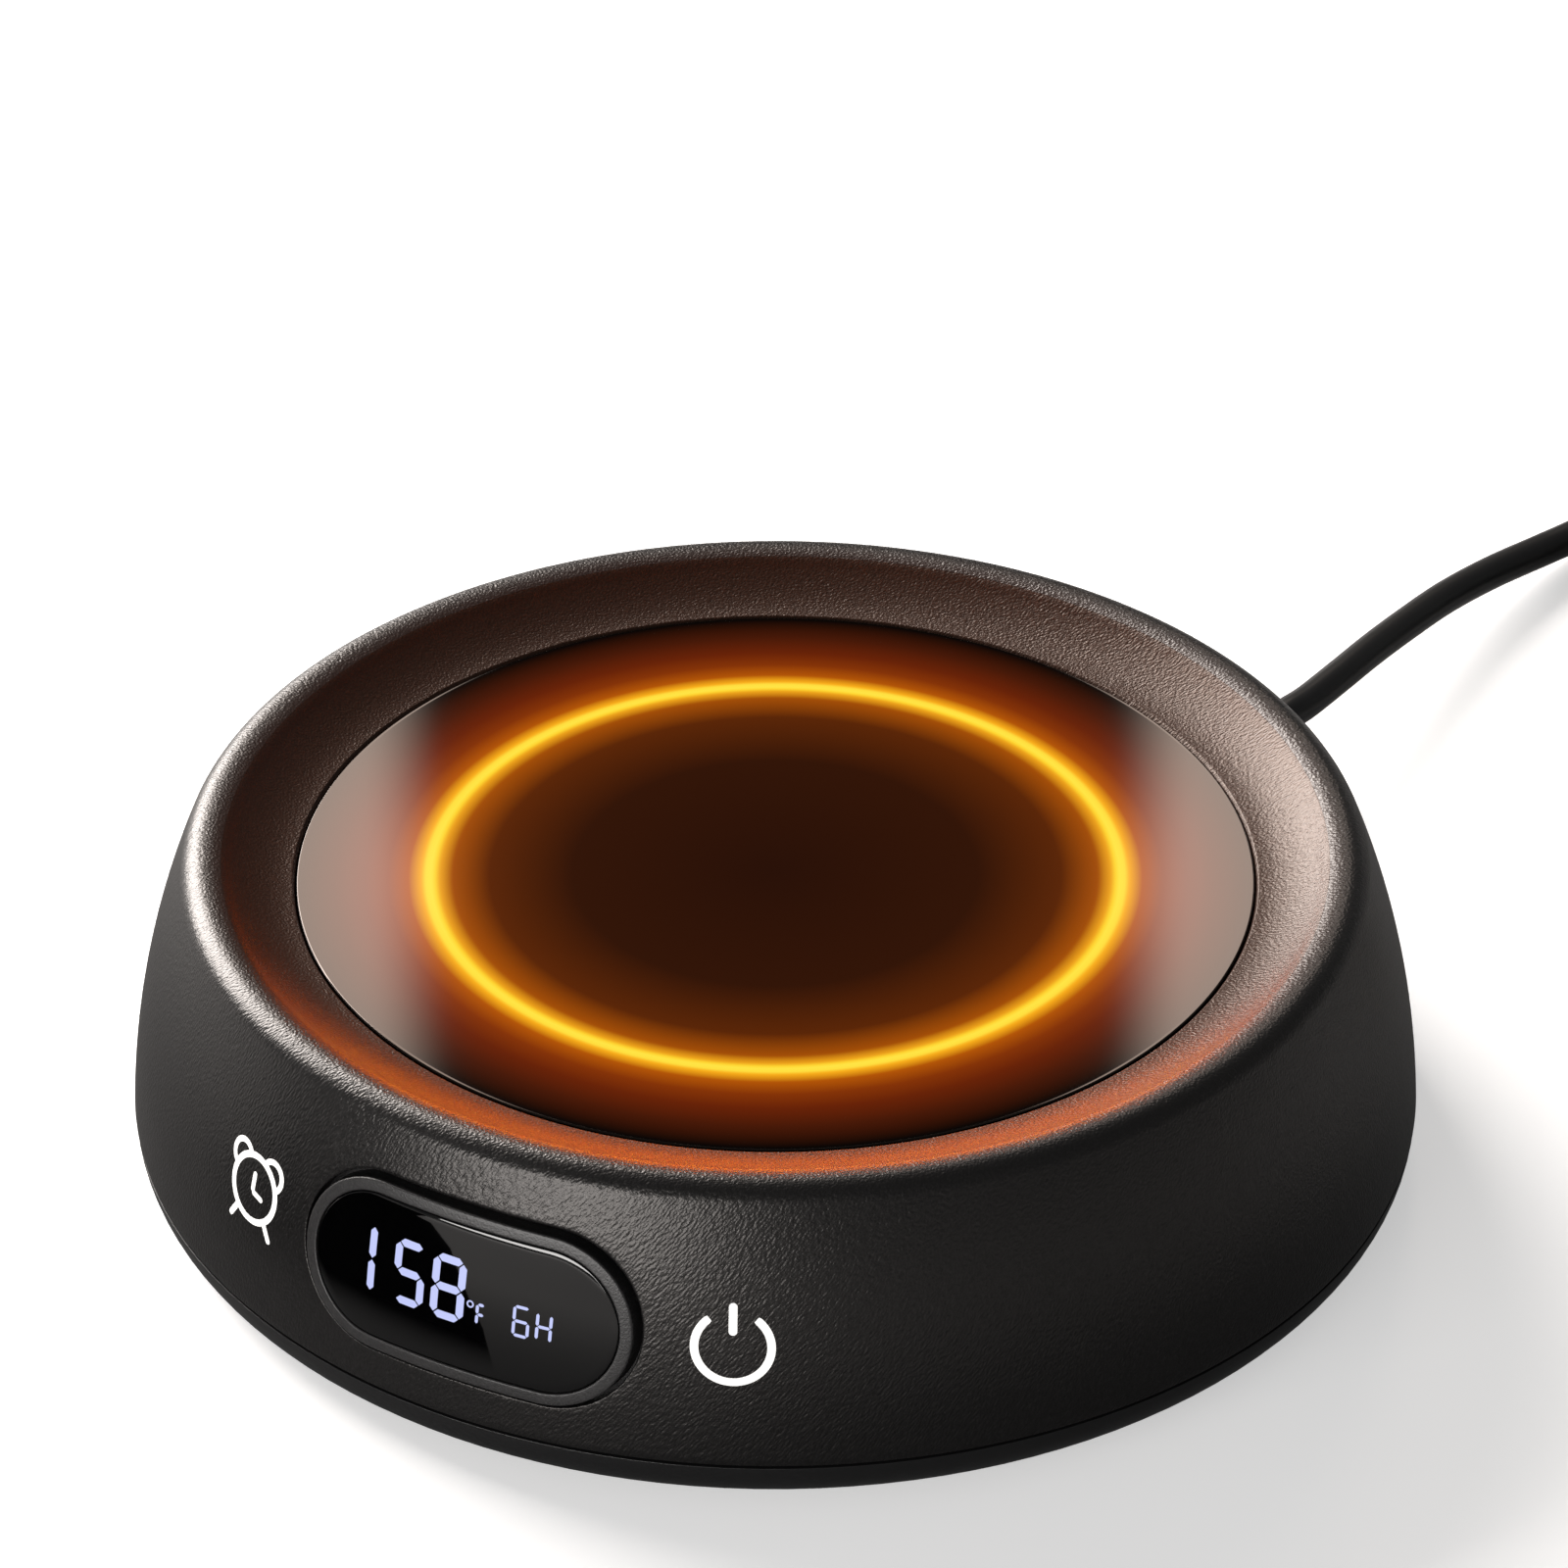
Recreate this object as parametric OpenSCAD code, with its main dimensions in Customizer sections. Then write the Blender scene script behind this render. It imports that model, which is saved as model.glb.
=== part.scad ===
// Electric mug warmer, millimetres. The origin is on the table under the centre of the body,
// +Z is up and the display faces -Y.

/* [Body] */
// Widest diameter of the body, at the parting line
body_d = 141; // [137:0.5:146]
// Height of the rim's crest above the table
body_h = 37; // [36:0.5:42]
// Height of the parting line above the table
parting_h = 6.3; // [5.8:0.1:7]
// Distance of the rim's crest inside the widest radius
crest_inset = 8.5; // [7:0.1:9]
// Rounding of the rim outside the crest
shoulder_r = 2.6; // [2:0.1:4]
// Rounding of the rim inside the crest
crest_r = 5.2; // [4:0.1:8]
// Bulge radius of the side wall
side_r = 90; // [80:1:130]
// Wall thickness of the upper shell
shell_wall = 2.2; // [1.8:0.1:2.6]

/* [Base] */
// Height of the tray's underside above the table
foot_stand = 1; // [0.6:0.1:1.6]
// Thickness of the tray's floor
tray_floor = 2; // [1.6:0.1:2.4]
// Rounding of the band under the parting line
band_r = 5.2; // [4.8:0.1:6]
// Width of the shadow groove under the shell's edge
reveal_h = 0.25; // [0.1:0.05:0.4]
// Depth of that groove
reveal_depth = 1.5; // [1:0.1:1.9]
// Height of the tray's lip inside the shell
lip_h = 3; // [2:0.1:4]
// Thickness of the lip
lip_t = 1.5; // [1.2:0.1:2]
// Diameter of a rubber foot
foot_d = 12; // [8:0.5:14]
// Depth of a foot's pocket in the tray
foot_pocket = 0.8; // [0.5:0.1:1.1]
// Distance of a foot's centre inside the widest radius
foot_inset = 15.5; // [14:0.5:18]

/* [Dish and plate] */
// Distance of the dish ring's outer seam inside the crest
seam_inset = 2; // [1.5:0.1:2.4]
// Thickness of the dish ring, measured upright
ring_t = 1.7; // [1.4:0.1:2]
// Width of the ledge that the dish ring sits on
ledge_w = 1.6; // [1.2:0.1:1.9]
// Thickness of that ledge
ledge_t = 1.5; // [1.2:0.1:2]
// Width of the dish ring's slope, from the seam to the well
dish_w = 7.85; // [7.2:0.05:9.8]
// How far that slope sags below a straight one
dish_sag = 0.6; // [0:0.1:0.7]
// Thickness of the glass plate
plate_t = 4; // [3:0.1:4.5]
// Depth of the plate's top below the crest
plate_drop = 3.7; // [3:0.1:4.2]
// Open gap round the plate
plate_gap = 0.3; // [0.2:0.05:0.5]
// Chamfer on the edges at that gap
edge_chamfer = 0.3; // [0.1:0.05:0.5]
// Wall of the skirt below the dish ring
skirt_t = 1.75; // [1.4:0.05:2]
// How far a mug presses the plate down
plate_travel = 1; // [0.5:0.1:1.5]
// Arc that a clip under the dish ring takes up, in degrees
clip_arc = 12; // [8:1:16]
// Thickness of a clip
clip_t = 1.3; // [1:0.1:1.5]
// How far a clip catches under the ledge
clip_catch = 0.9; // [0.6:0.1:1.1]
// Height of a clip's hook
clip_hook_h = 1.4; // [1:0.1:1.8]

/* [Heater] */
// Distance of the heat spreader's edge inside the plate's edge
spreader_inset = 5.85; // [4.8:0.05:8]
// Thickness of the heat spreader
spreader_t = 1.5; // [1:0.1:2]
// Thickness of a mica sheet
mica_t = 0.4; // [0.3:0.05:0.6]
// Thickness of the resistance track
track_t = 0.2; // [0.1:0.05:0.4]
// Width of the track
track_w = 2.4; // [1.8:0.1:2.8]
// Distance from one ring of the track to the next
track_pitch = 4; // [3.6:0.1:4.2]
// Least distance from the outermost ring's middle to the heat spreader's edge
track_edge = 5; // [3:0.5:6]
// Middle radius of the innermost ring
track_first_r = 13; // [12:0.5:14]
// Thickness of the insulation pad
pad_t = 3.3; // [2.8:0.1:4]
// Diameter of the opening in the middle of the pad and the mica
pad_hole_d = 19; // [18:0.5:20]
// Diameter of the thermal fuse
fuse_d = 3.2; // [2.6:0.1:3.4]
// Length of the thermal fuse
fuse_l = 9; // [7:0.5:10]
// Diameter of the temperature sensor
sensor_d = 4.4; // [3.6:0.1:4.8]
// Diameter of a heater lead
lead_d = 1.6; // [1.2:0.1:1.8]
// Diameter of the holes that the leads pass through
lead_hole_d = 3; // [2.6:0.1:3.2]

/* [Plate carrier and springs] */
// Thickness of the carrier's floor
carrier_floor = 2; // [1.6:0.1:2.4]
// Wall of the carrier's rim
rim_t = 2.5; // [2:0.1:3]
// Distance of the carrier's rim inside the plate's edge
rim_inset = 0.85; // [0.6:0.05:1.2]
// Thickness of the flange that stops the plate under the skirt
flange_t = 1.5; // [1.2:0.1:2]
// Height of the ribs under the carrier
rib_h = 2; // [1.2:0.1:2.4]
// Thickness of a rib
rib_t = 1.6; // [1.2:0.1:2.4]
// Number of ribs
rib_count = 6; // [3:3:6]
// Distance of a guide post's middle inside the plate's edge
guide_inset = 11.85; // [10:0.05:14]
// Diameter of a guide post
guide_d = 5; // [4:0.1:5.6]
// Running clearance round a guide post
guide_fit = 0.3; // [0.2:0.05:0.5]
// Wall of a guide tube
guide_wall = 1.4; // [1.2:0.1:2]
// Length of a spring
spring_l = 8.5; // [7.5:0.5:10]
// Wire diameter of a spring
spring_wire = 0.8; // [0.5:0.05:0.9]
// Turns in a spring
spring_turns = 5; // [4:0.5:6]

/* [Display] */
// Height of the window's centre above the middle of the wall
window_rise = 0.6; // [-0.4:0.1:0.8]
// Length of the lens
lens_l = 36.9; // [34:0.1:38]
// Least wall left between the bezel's flange and the ledge or the parting line
window_margin = 1.1; // [0.9:0.05:2.2]
// Thickness of the lens
lens_t = 1.9; // [1.4:0.1:2]
// Width of the bezel round the lens
bezel_w = 1.9; // [1.6:0.1:2.4]
// Groove between the bezel and the shell
bezel_gap = 0.35; // [0.2:0.05:0.5]
// Fit of the lens in the bezel
lens_fit = 0.1; // [0.05:0.05:0.2]
// How far the bezel's flange reaches behind the shell
bezel_flange = 1.6; // [1.2:0.1:2]
// Thickness of that flange
bezel_flange_t = 1.2; // [0.8:0.1:1.4]
// Lip of the bezel behind the lens
lens_lip = 1.2; // [0.8:0.1:1.6]
// Length of the display module
module_l = 30; // [26:0.5:30]
// How far the display module's edge lies inside the lens's upper and lower edge
module_inset = 2.5; // [1.8:0.1:3.2]
// Depth of the module's face below the outer surface
module_depth = 5.5; // [5.5:0.1:6]
// Thickness of the display module
module_t = 6.5; // [6:0.1:7]
// Length of the control board
panel_board_l = 62; // [58:1:64]
// How far the control board reaches past the lens's lower edge
panel_board_past = 1.5; // [1:0.1:2]
// Angle of a touch sign from the front centre
touch_angle = 24.4; // [23.5:0.1:25]
// Diameter of a touch spring
touch_d = 5; // [4:0.1:5.5]
// Wire diameter of a touch spring
touch_wire = 0.5; // [0.4:0.05:0.6]
// Turns in a touch spring
touch_turns = 3; // [2:0.5:4]
// Diameter of the posts that carry the control board
panel_post_d = 4.4; // [4:0.1:4.8]

/* [Boards and switch] */
// Thickness of a circuit board
board_t = 1.6; // [1.2:0.1:2]
// Gap between the power board's ends and the guide tubes
power_board_room = 2.4; // [1.5:0.1:3.4]
// Distance of the power board's front edge behind the centre
power_board_y = 8; // [7:0.5:9]
// Gap between the power board and the cord clamp's nearest corner
power_board_back = 3.5; // [2:0.1:4.5]
// Height of the posts under the power board
board_post_h = 4.4; // [3.5:0.1:5]
// Diameter of a board post
board_post_d = 6; // [5:0.1:6.4]
// Space between the tallest part and the ribs, with the plate down
headroom = 1; // [0.5:0.1:2]
// Length, width and height of the weight switch
switch_size = [12.8, 5.8, 6.5];
// Diameter of the switch's plunger
plunger_d = 2.4; // [1.8:0.1:3]
// How far the plunger stands out of the switch
plunger_out = 1.6; // [1.6:0.1:2.4]
// Running clearance round the plunger
plunger_fit = 0.1; // [0.05:0.05:0.2]
// Length and width of the relay
relay_size = [15, 7.5];
// Length and width of the transformer's core
core_size = [9, 13];
// Length and width of its winding
winding_size = [15, 9];
// Gap between the parts on the power board
part_gap = 1; // [0.6:0.1:1.2]
// Diameter of a filter capacitor
capacitor_d = 8; // [7:0.5:8]
// Length, width and height of the terminal block
terminal_size = [11, 8, 7];
// Distance between the two terminals
terminal_span = 5.2; // [4.8:0.1:5.6]

/* [Screws] */
// Distance of a case screw inside the widest radius
screw_inset = 10; // [9.5:0.1:11]
// Shaft diameter of a case screw
screw_d = 3; // [2.6:0.1:3.4]
// Head diameter of a case screw
screw_head_d = 5.8; // [5:0.1:6.4]
// Head height of a case screw
screw_head_h = 1.8; // [1.4:0.1:2]
// Length of a case screw's shaft
screw_l = 13; // [10:0.5:16]
// Diameter of a screw boss
boss_d = 8; // [7:0.1:8.4]
// Thickness of the rib that ties a boss to the wall
boss_rib_t = 1.6; // [1.2:0.1:2]
// Gap between a screw's shaft and its pilot hole
pilot_fit = 0.05; // [0.02:0.01:0.1]
// Gap round a screw's shaft and head where it passes freely
pass_fit = 0.25; // [0.15:0.05:0.4]
// Shaft diameter of a small screw
small_screw_d = 1.8; // [1.6:0.1:2.2]
// Head diameter of a small screw
small_head_d = 3.6; // [3.2:0.1:4]
// Head height of a small screw
small_head_h = 1.3; // [1:0.1:1.6]
// Length of a small screw's shaft
small_screw_l = 5; // [4.5:0.1:5.4]

/* [Cord] */
// Diameter of the cord
cord_d = 4; // [3.6:0.1:4.6]
// Height of the cord's exit
cord_h = 9.6; // [9:0.1:10.4]
// Angle of the exit from the rear centre, towards +X
cord_angle = 12.5; // [0:0.5:20]
// Width of the strain relief's neck in the shell
neck_w = 6.8; // [6:0.1:7.4]
// Fit of the neck in its notch
neck_fit = 0.1; // [0.05:0.05:0.2]
// Diameter of the strain relief's collar and flange
collar_d = 10; // [9:0.1:10.6]
// Length of the strain relief outside the body
relief_l = 18; // [16:0.5:22]
// Diameter of the strain relief's tip
relief_tip_d = 5.6; // [5.2:0.1:6.4]
// Thickness of the collar and of the flange
collar_t = 1.8; // [1.4:0.1:2.2]
// Distance of the cord clamp's middle inside the widest radius
clamp_inset = 12.5; // [12:0.1:13]
// Length, width and thickness of the clamp bar
clamp_bar = [20, 6, 3.4];
// Spread of the clamp's screws
clamp_screw_span = 14; // [13:0.1:15]

/* [Plug] */
// Width and thickness of the plug's body
plug_size = [25, 17];
// Length of the plug's body
plug_l = 24; // [22:0.5:28]
// Length of the plug's tapered tail
plug_tail_l = 11; // [9:0.5:14]
// Corner rounding of the plug
plug_r = 3; // [2:0.1:4]
// Thickness, length and width of a blade
blade_size = [1.5, 16, 6.35];
// Distance between the blades
blade_span = 12.7; // [12.7:0.1:13]

/* [Hidden] */
$fn = 96;

// A cut runs this far past the face that it opens.
over = 1;
// Faces across a small working gap that isn't a fit stand this far apart.
ease = 0.15;
// Glue line between curved faces.
glue = 0.05;

charcoal = "#2d2c2e";
satin_black = "#161617";
gloss_black = "#0b0b0c";
board_green = "#1f5a3c";
steel = "#b9bbbd";

// Body outline. The side arc passes through the parting edge and meets the shoulder arc smoothly.
body_r = body_d / 2;
crest_x = body_r - crest_inset;
shoulder_z = body_h - shoulder_r;
chord = norm([body_r - crest_x, parting_h - shoulder_z]);
chord_dir = [crest_x - body_r, shoulder_z - parting_h] / chord;
chord_part = (pow(side_r, 2) - pow(side_r - shoulder_r, 2) + pow(chord, 2)) / (2 * chord);
chord_off = sqrt(pow(side_r, 2) - pow(chord_part, 2));
side_c = [body_r + chord_part * chord_dir[0] - chord_off * chord_dir[1],
          parting_h + chord_part * chord_dir[1] + chord_off * chord_dir[0]];
shoulder_a = atan2(shoulder_z - side_c[1], crest_x - side_c[0]);
side_steps = 12;

// Dish and plate, from the top down
plate_top = body_h - plate_drop;
seam_r = crest_x - seam_inset;
well_r = seam_r - dish_w;
plate_r = well_r - plate_gap;
seam_z = body_h - crest_r + sqrt(pow(crest_r, 2) - pow(seam_inset, 2));
dish_slope = (seam_z - plate_top) / dish_w;
dish_steps = 8;
ring_edge_t = ring_t + 0.5;
ledge_r = seam_r - ledge_w;
ledge_top = seam_z - ring_edge_t;
ledge_low = ledge_top - ledge_t;
ring_step_r = ledge_r - ease;
clip_r = ring_step_r - 0.1;

plate_low = plate_top - plate_t;
spreader_low = plate_low - spreader_t;
track_top = spreader_low - mica_t;
track_low = track_top - track_t;
stack_low = track_low - mica_t;
carrier_top = stack_low - pad_t;
carrier_low = carrier_top - carrier_floor;
stop_z = carrier_top + flange_t + 0.5;
rim_r = plate_r - rim_inset;
rim_inner_r = rim_r - rim_t;
flange_r = well_r + skirt_t - ease;
rib_low = carrier_low - rib_h;
pedestal_top = spreader_low - fuse_d;
pad_r = rim_inner_r - over;
spreader_r = plate_r - spreader_inset;
track_rings = 1 + floor((spreader_r - track_edge - track_first_r) / track_pitch);
guide_circle_r = plate_r - guide_inset;

// Base
floor_top = foot_stand + tray_floor;
band_c = [body_r - band_r - 0.1, parting_h - 0.4];
band_low_a = asin((band_c[1] - foot_stand) / band_r);
lip_top = parting_h + lip_h;
lip_r = side_x(lip_top, shell_wall) - ease;
lip_inner_r = lip_r - lip_t;
foot_circle_r = body_r - foot_inset;
screw_circle_r = body_r - screw_inset;
screw_angles = [30, 150, 210, 330];
head_recess = 0.8;
screw_seat = foot_stand + screw_head_h + head_recess;

// Guides, springs and switch
guide_angles = [30, 150, 270];
guide_tube_r = guide_d / 2 + guide_fit + guide_wall;
guide_tube_top = carrier_low - spring_l;
guide_end = floor_top + plate_travel + over;
spring_r = guide_tube_r - spring_wire / 2 - ease;
switch_top = rib_low - plunger_out;
switch_low = switch_top - switch_size[2];
plunger_in = 2.5;

// Display
wall_middle = (parting_h + ledge_low) / 2;
window_h = wall_middle + window_rise;
bezel_flange_h = ledge_low - parting_h - 2 * (window_margin + abs(window_rise));
lens_h = bezel_flange_h - 2 * (bezel_w + bezel_flange);
module_h = lens_h - 2 * module_inset;
panel_board_low = lens_h / 2 + panel_board_past;
face_tilt = asin((window_h - side_c[1]) / side_r);
panel_face = module_depth + module_t;
panel_board_top = module_h / 2;
bezel_l = lens_l + 2 * bezel_w;
bezel_h = lens_h + 2 * bezel_w;
panel_screw_low = panel_board_low - 3.1;
panel_screw_span = 49.2;
panel_screws = [for (x = [-1, 1]) [x * panel_screw_span / 2, -panel_screw_low]];

// Power board
board_low = floor_top + board_post_h;
board_top = board_low + board_t;
tall_part_h = rib_low - plate_travel - headroom - board_top;
clamp_y = body_r - clamp_inset;
power_board_l = 2 * (guide_circle_r * cos(guide_angles[0]) - guide_tube_r - power_board_room);
power_board_rear = (clamp_y - clamp_bar[1] / 2) * cos(cord_angle) - clamp_bar[0] / 2 * sin(cord_angle)
    - power_board_back;
power_board_w = power_board_rear - power_board_y;
board_inset = board_post_d / 2;
board_corners = [for (x = [-1, 1], y = [0, 1]) [
    x * (power_board_l / 2 - board_inset),
    power_board_y + board_inset + y * (power_board_w - board_post_d)]];

track_gap = track_w + 1.2;
track_last_r = track_first_r + (track_rings - 1) * track_pitch;
lead_x = track_gap / 2 + over;
lead_at = [for (r = [track_last_r, track_first_r]) [-lead_x, sqrt(pow(r, 2) - pow(lead_x, 2))]];

// Places of the parts on the power board, from the centre of the body
lead_side = -lead_x - lead_d / 2 - part_gap;
relay_at = [lead_side - relay_size[0] / 2, power_board_y + board_post_d + relay_size[1] / 2];
transformer_at = [lead_side - winding_size[0] / 2,
                  relay_at[1] + (relay_size[1] + core_size[1]) / 2 + part_gap];
capacitor_at = [for (i = [0, 1]) [16, power_board_y + 9 + i * (capacitor_d + 2 * part_gap)]];
terminal_at = [9.5, power_board_rear - terminal_size[1] / 2 - part_gap / 2];
terminal_h = 3;
terminal_bore_d = 2.4;
terminal_bore_l = 3;

// Cord
exit_r = side_x(cord_h);
inner_wall_r = side_x(cord_h + collar_d / 2, shell_wall);
relief_flange_y = sqrt(pow(inner_wall_r, 2) - pow(collar_d / 2, 2)) - ease;
relief_collar_y = exit_r + ease;
relief_tip_y = exit_r + relief_l;
clamp_screw_in = 4.1;
sheath_free = 2;
sheath_end_y = clamp_y - clamp_bar[1] / 2 - sheath_free;
exit_dir = [sin(cord_angle), cos(cord_angle), 0];
cord_start = relief_tip_y * exit_dir + [0, 0, cord_h];
cord_straight = 3;
cord_route = [[20.3, 93, 9.2], [20.8, 100.5, 8.6], [21.1, 109, 7.7], [21.6, 118, 6.6], [22.5, 127.5, 5.5],
              [24.2, 137, 4.3], [26.6, 146, 3.2], [28.5, 152, 2.7], [31.4, 161.5, 2.1], [34.5, 171.2, 2]];
coil_c = [65, 161.5];
coil_inner_r = 14;
coil_outer_r = 34;
coil_top_r = 30;
coil_h = 8;
tail_route = [[93, 161.5, 6], [93, 156, 6.1], [93, 149, 6.7], [93, 142, 7.7], [93, 136, 8.5]];
plug_at = [93, 133, 8.5];
plug_face_y = plug_tail_l + plug_l;

// Points along an arc from angle a0 to a1.
function arc(c, r, a0, a1, n) =
    [for (i = [0:n]) let (a = a0 + (a1 - a0) * i / n) [c[0] + r * cos(a), c[1] + r * sin(a)]];

// Radius of the side wall at height z, a distance deep below its outer surface.
function side_x(z, deep = 0) = side_c[0] + sqrt(pow(side_r - deep, 2) - pow(z - side_c[1], 2));

// Angle of height z on the side arc that lies deep below the outer surface.
function side_a(z, deep = 0) = asin((z - side_c[1]) / (side_r - deep));

function unit(v) = v / norm(v);
function heading(p, i) = unit(p[min(i + 1, len(p) - 1)] - p[max(i - 1, 0)]);
function ring(c, t, r, sides, up) = let (s = unit(cross(t, up)), w = cross(s, t))
    [for (k = [0:sides - 1]) c + r * (cos(360 * k / sides) * s + sin(360 * k / sides) * w)];

// A round tube along a path. The direction called up is never along the path.
module tube(path, r, sides = 8, up = [0, 0, 1]) {
    n = len(path);
    points = [for (i = [0:n - 1]) each ring(path[i], heading(path, i), r, sides, up)];
    walls = [for (i = [0:n - 2], k = [0:sides - 1])
        let (a = i * sides + k, b = i * sides + (k + 1) % sides)
        each [[a, b, a + sides], [b, b + sides, a + sides]]];
    ends = [[for (k = [sides - 1:-1:0]) k], [for (k = [0:sides - 1]) (n - 1) * sides + k]];
    polyhedron(points = points, faces = concat(ends, walls), convexity = 6);
}

// A compression coil that stands on z = 0, as long as length over its wire.
module coil_spring(r, wire, length, turns, steps = 10, sides = 6) {
    rise = length - wire;
    tube([for (i = [0:turns * steps]) let (a = 360 * i / steps)
        [r * cos(a), r * sin(a), wire / 2 + rise * i / (turns * steps)]], wire / 2, sides);
}

// A straight bar with round ends, length over all l and height h, in the XY plane.
module stadium(l, h) {
    square([l - h, h], center = true);
    for (x = [-1, 1]) translate([x * (l - h) / 2, 0]) circle(d = h);
}

// A box that stands on height z with its middle at the given place.
module block(size, at, z) {
    translate([at[0] - size[0] / 2, at[1] - size[1] / 2, z]) cube(size);
}

// Moves to the side surface at the window's centre, with Z outwards and Y up the slope.
module on_face() {
    translate([0, -side_x(window_h), window_h]) rotate([90 - face_tilt, 0, 0]) children();
}

// Turns local +Y to the direction in which the cord leaves.
module at_rear() {
    rotate([0, 0, -cord_angle]) children();
}

module around(angles, r) {
    for (a = angles) rotate([0, 0, a]) translate([r, 0, 0]) children();
}

// A layer of the side wall between two depths below its outer surface.
module side_layer(near, far) {
    low = side_a(parting_h);
    rotate_extrude() polygon(concat(arc(side_c, side_r - near, low, shoulder_a, side_steps),
                                    arc(side_c, side_r - far, shoulder_a, low, side_steps)));
}

// The space inside the shell up to the ledge, a distance deep below the outer surface.
module inside(deep) {
    rotate_extrude() polygon(concat([[0, parting_h]],
        arc(side_c, side_r - deep, side_a(parting_h, deep), side_a(ledge_low, deep), side_steps),
        [[0, ledge_low]]));
}

// A round-headed screw. Its head's underside is at z = 0 and its shaft points up.
module screw(d, l, head_d, head_h) {
    edge = 0.5;
    slot_w = 0.6;
    tip_r = 0.3;
    difference() {
        rotate_extrude() polygon([[0, -head_h], [head_d / 2 - edge, -head_h], [head_d / 2, -head_h + edge],
                                  [head_d / 2, 0], [d / 2, 0], [d / 2, l - d / 2], [tip_r, l], [0, l]]);
        for (a = [0, 90]) rotate([0, 0, a]) translate([-head_d / 4, -slot_w / 2, -head_h - over])
            cube([head_d / 2, slot_w, over + head_h / 2]);
    }
}

module case_boss() {
    around(screw_angles, screw_circle_r) {
        translate([0, 0, parting_h]) cylinder(d = boss_d, h = ledge_low - parting_h);
        translate([0, -boss_rib_t / 2, lip_top + ease])
            cube([screw_inset, boss_rib_t, ledge_low - lip_top - ease]);
    }
}

// Section of the strain relief's neck, seen from outside: round above, square down to the tray.
module neck_section(grow) {
    intersection() {
        translate([0, cord_h]) circle(d = neck_w + 2 * grow);
        above_parting();
    }
    translate([-neck_w / 2 - grow, parting_h]) square([neck_w + 2 * grow, cord_h - parting_h]);
}

// Everything in an upright section that is above the tray's edge.
module above_parting() {
    translate([-body_r, parting_h]) square([body_d, body_h]);
}

module along_exit(from, to) {
    translate([0, to, 0]) rotate([90, 0, 0]) linear_extrude(to - from) children();
}

module upper_shell() color(charcoal) {
    difference() {
        union() {
            rotate_extrude() polygon(concat(
                arc(side_c, side_r, side_a(parting_h), shoulder_a, side_steps),
                arc([crest_x, shoulder_z], shoulder_r, shoulder_a, 90, 8),
                arc([crest_x, body_h - crest_r], crest_r, 90, 90 + asin(seam_inset / crest_r), 4),
                [[seam_r, ledge_top], [ledge_r, ledge_top], [ledge_r, ledge_low]],
                arc(side_c, side_r - shell_wall, side_a(ledge_low, shell_wall),
                    side_a(parting_h, shell_wall), side_steps)));
            intersection() {
                union() {
                    case_boss();
                    on_face() for (p = panel_screws)
                        translate([p[0], p[1], -panel_face]) cylinder(d = panel_post_d, h = panel_face);
                }
                inside(shell_wall / 2);
            }
        }
        on_face() translate([0, 0, -module_depth - over])
            linear_extrude(module_depth + 2 * over) stadium(bezel_l + 2 * bezel_gap, bezel_h + 2 * bezel_gap);
        around(screw_angles, screw_circle_r) translate([0, 0, parting_h - over])
            cylinder(d = screw_d + 2 * pilot_fit, h = over + screw_l);
        on_face() for (p = panel_screws) translate([p[0], p[1], -panel_face - over])
            cylinder(d = small_screw_d + 2 * pilot_fit, h = over + small_screw_l - board_t + over / 2);
        at_rear() along_exit(clamp_y, body_r + over) {
            neck_section(neck_fit);
            translate([-neck_w / 2 - neck_fit, parting_h - over]) square([neck_w + 2 * neck_fit, 2 * over]);
        }
    }
}

// Upper surface of the dish ring at radius r, and its section between two radii, a height down.
function dish_z(r) = plate_top + (r - well_r) * (dish_slope - 4 * dish_sag * (seam_r - r) / pow(dish_w, 2));
function dish_line(r0, r1, down = 0) =
    [for (i = [0:dish_steps]) let (r = r0 + (r1 - r0) * i / dish_steps) [r, dish_z(r) - down]];

module dish_ring() color(satin_black) {
    rim_edge_r = seam_r - ease;
    rotate_extrude() polygon(concat(
        [[well_r, stop_z], [well_r + skirt_t, stop_z]],
        dish_line(well_r + skirt_t, ring_step_r, ring_t),
        [[ring_step_r, ledge_top], [rim_edge_r, ledge_top]],
        dish_line(rim_edge_r, well_r + edge_chamfer),
        [[well_r, plate_top - edge_chamfer]]));
    // Four clips spring under the shell's ledge.
    hook_top = ledge_low - ease;
    for (a = [0:90:270]) rotate([0, 0, a - clip_arc / 2]) rotate_extrude(angle = clip_arc) polygon([
        [clip_r - clip_t, hook_top - clip_hook_h], [clip_r, hook_top - clip_hook_h],
        [clip_r + clip_catch, hook_top], [clip_r, hook_top], [clip_r, dish_z(clip_r) - ring_t / 2],
        [clip_r - clip_t, dish_z(clip_r - clip_t) - ring_t / 2]]);
}

module display_bezel() color(charcoal) {
    difference() {
        union() {
            intersection() {
                side_layer(0, shell_wall + bezel_flange_t / 2);
                on_face() translate([0, 0, -panel_face]) linear_extrude(panel_face + over)
                    stadium(bezel_l, bezel_h);
            }
            intersection() {
                side_layer(shell_wall + glue, shell_wall + bezel_flange_t);
                on_face() translate([0, 0, -panel_face]) linear_extrude(panel_face + over)
                    stadium(bezel_l + 2 * bezel_flange, bezel_h + 2 * bezel_flange);
            }
        }
        intersection() {
            side_layer(-over, lens_t + glue);
            on_face() translate([0, 0, -panel_face]) linear_extrude(panel_face + over)
                stadium(lens_l + 2 * lens_fit, lens_h + 2 * lens_fit);
        }
        on_face() translate([0, 0, -panel_face]) linear_extrude(panel_face + over)
            stadium(lens_l - 2 * lens_lip, lens_h - 2 * lens_lip);
    }
}

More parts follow.
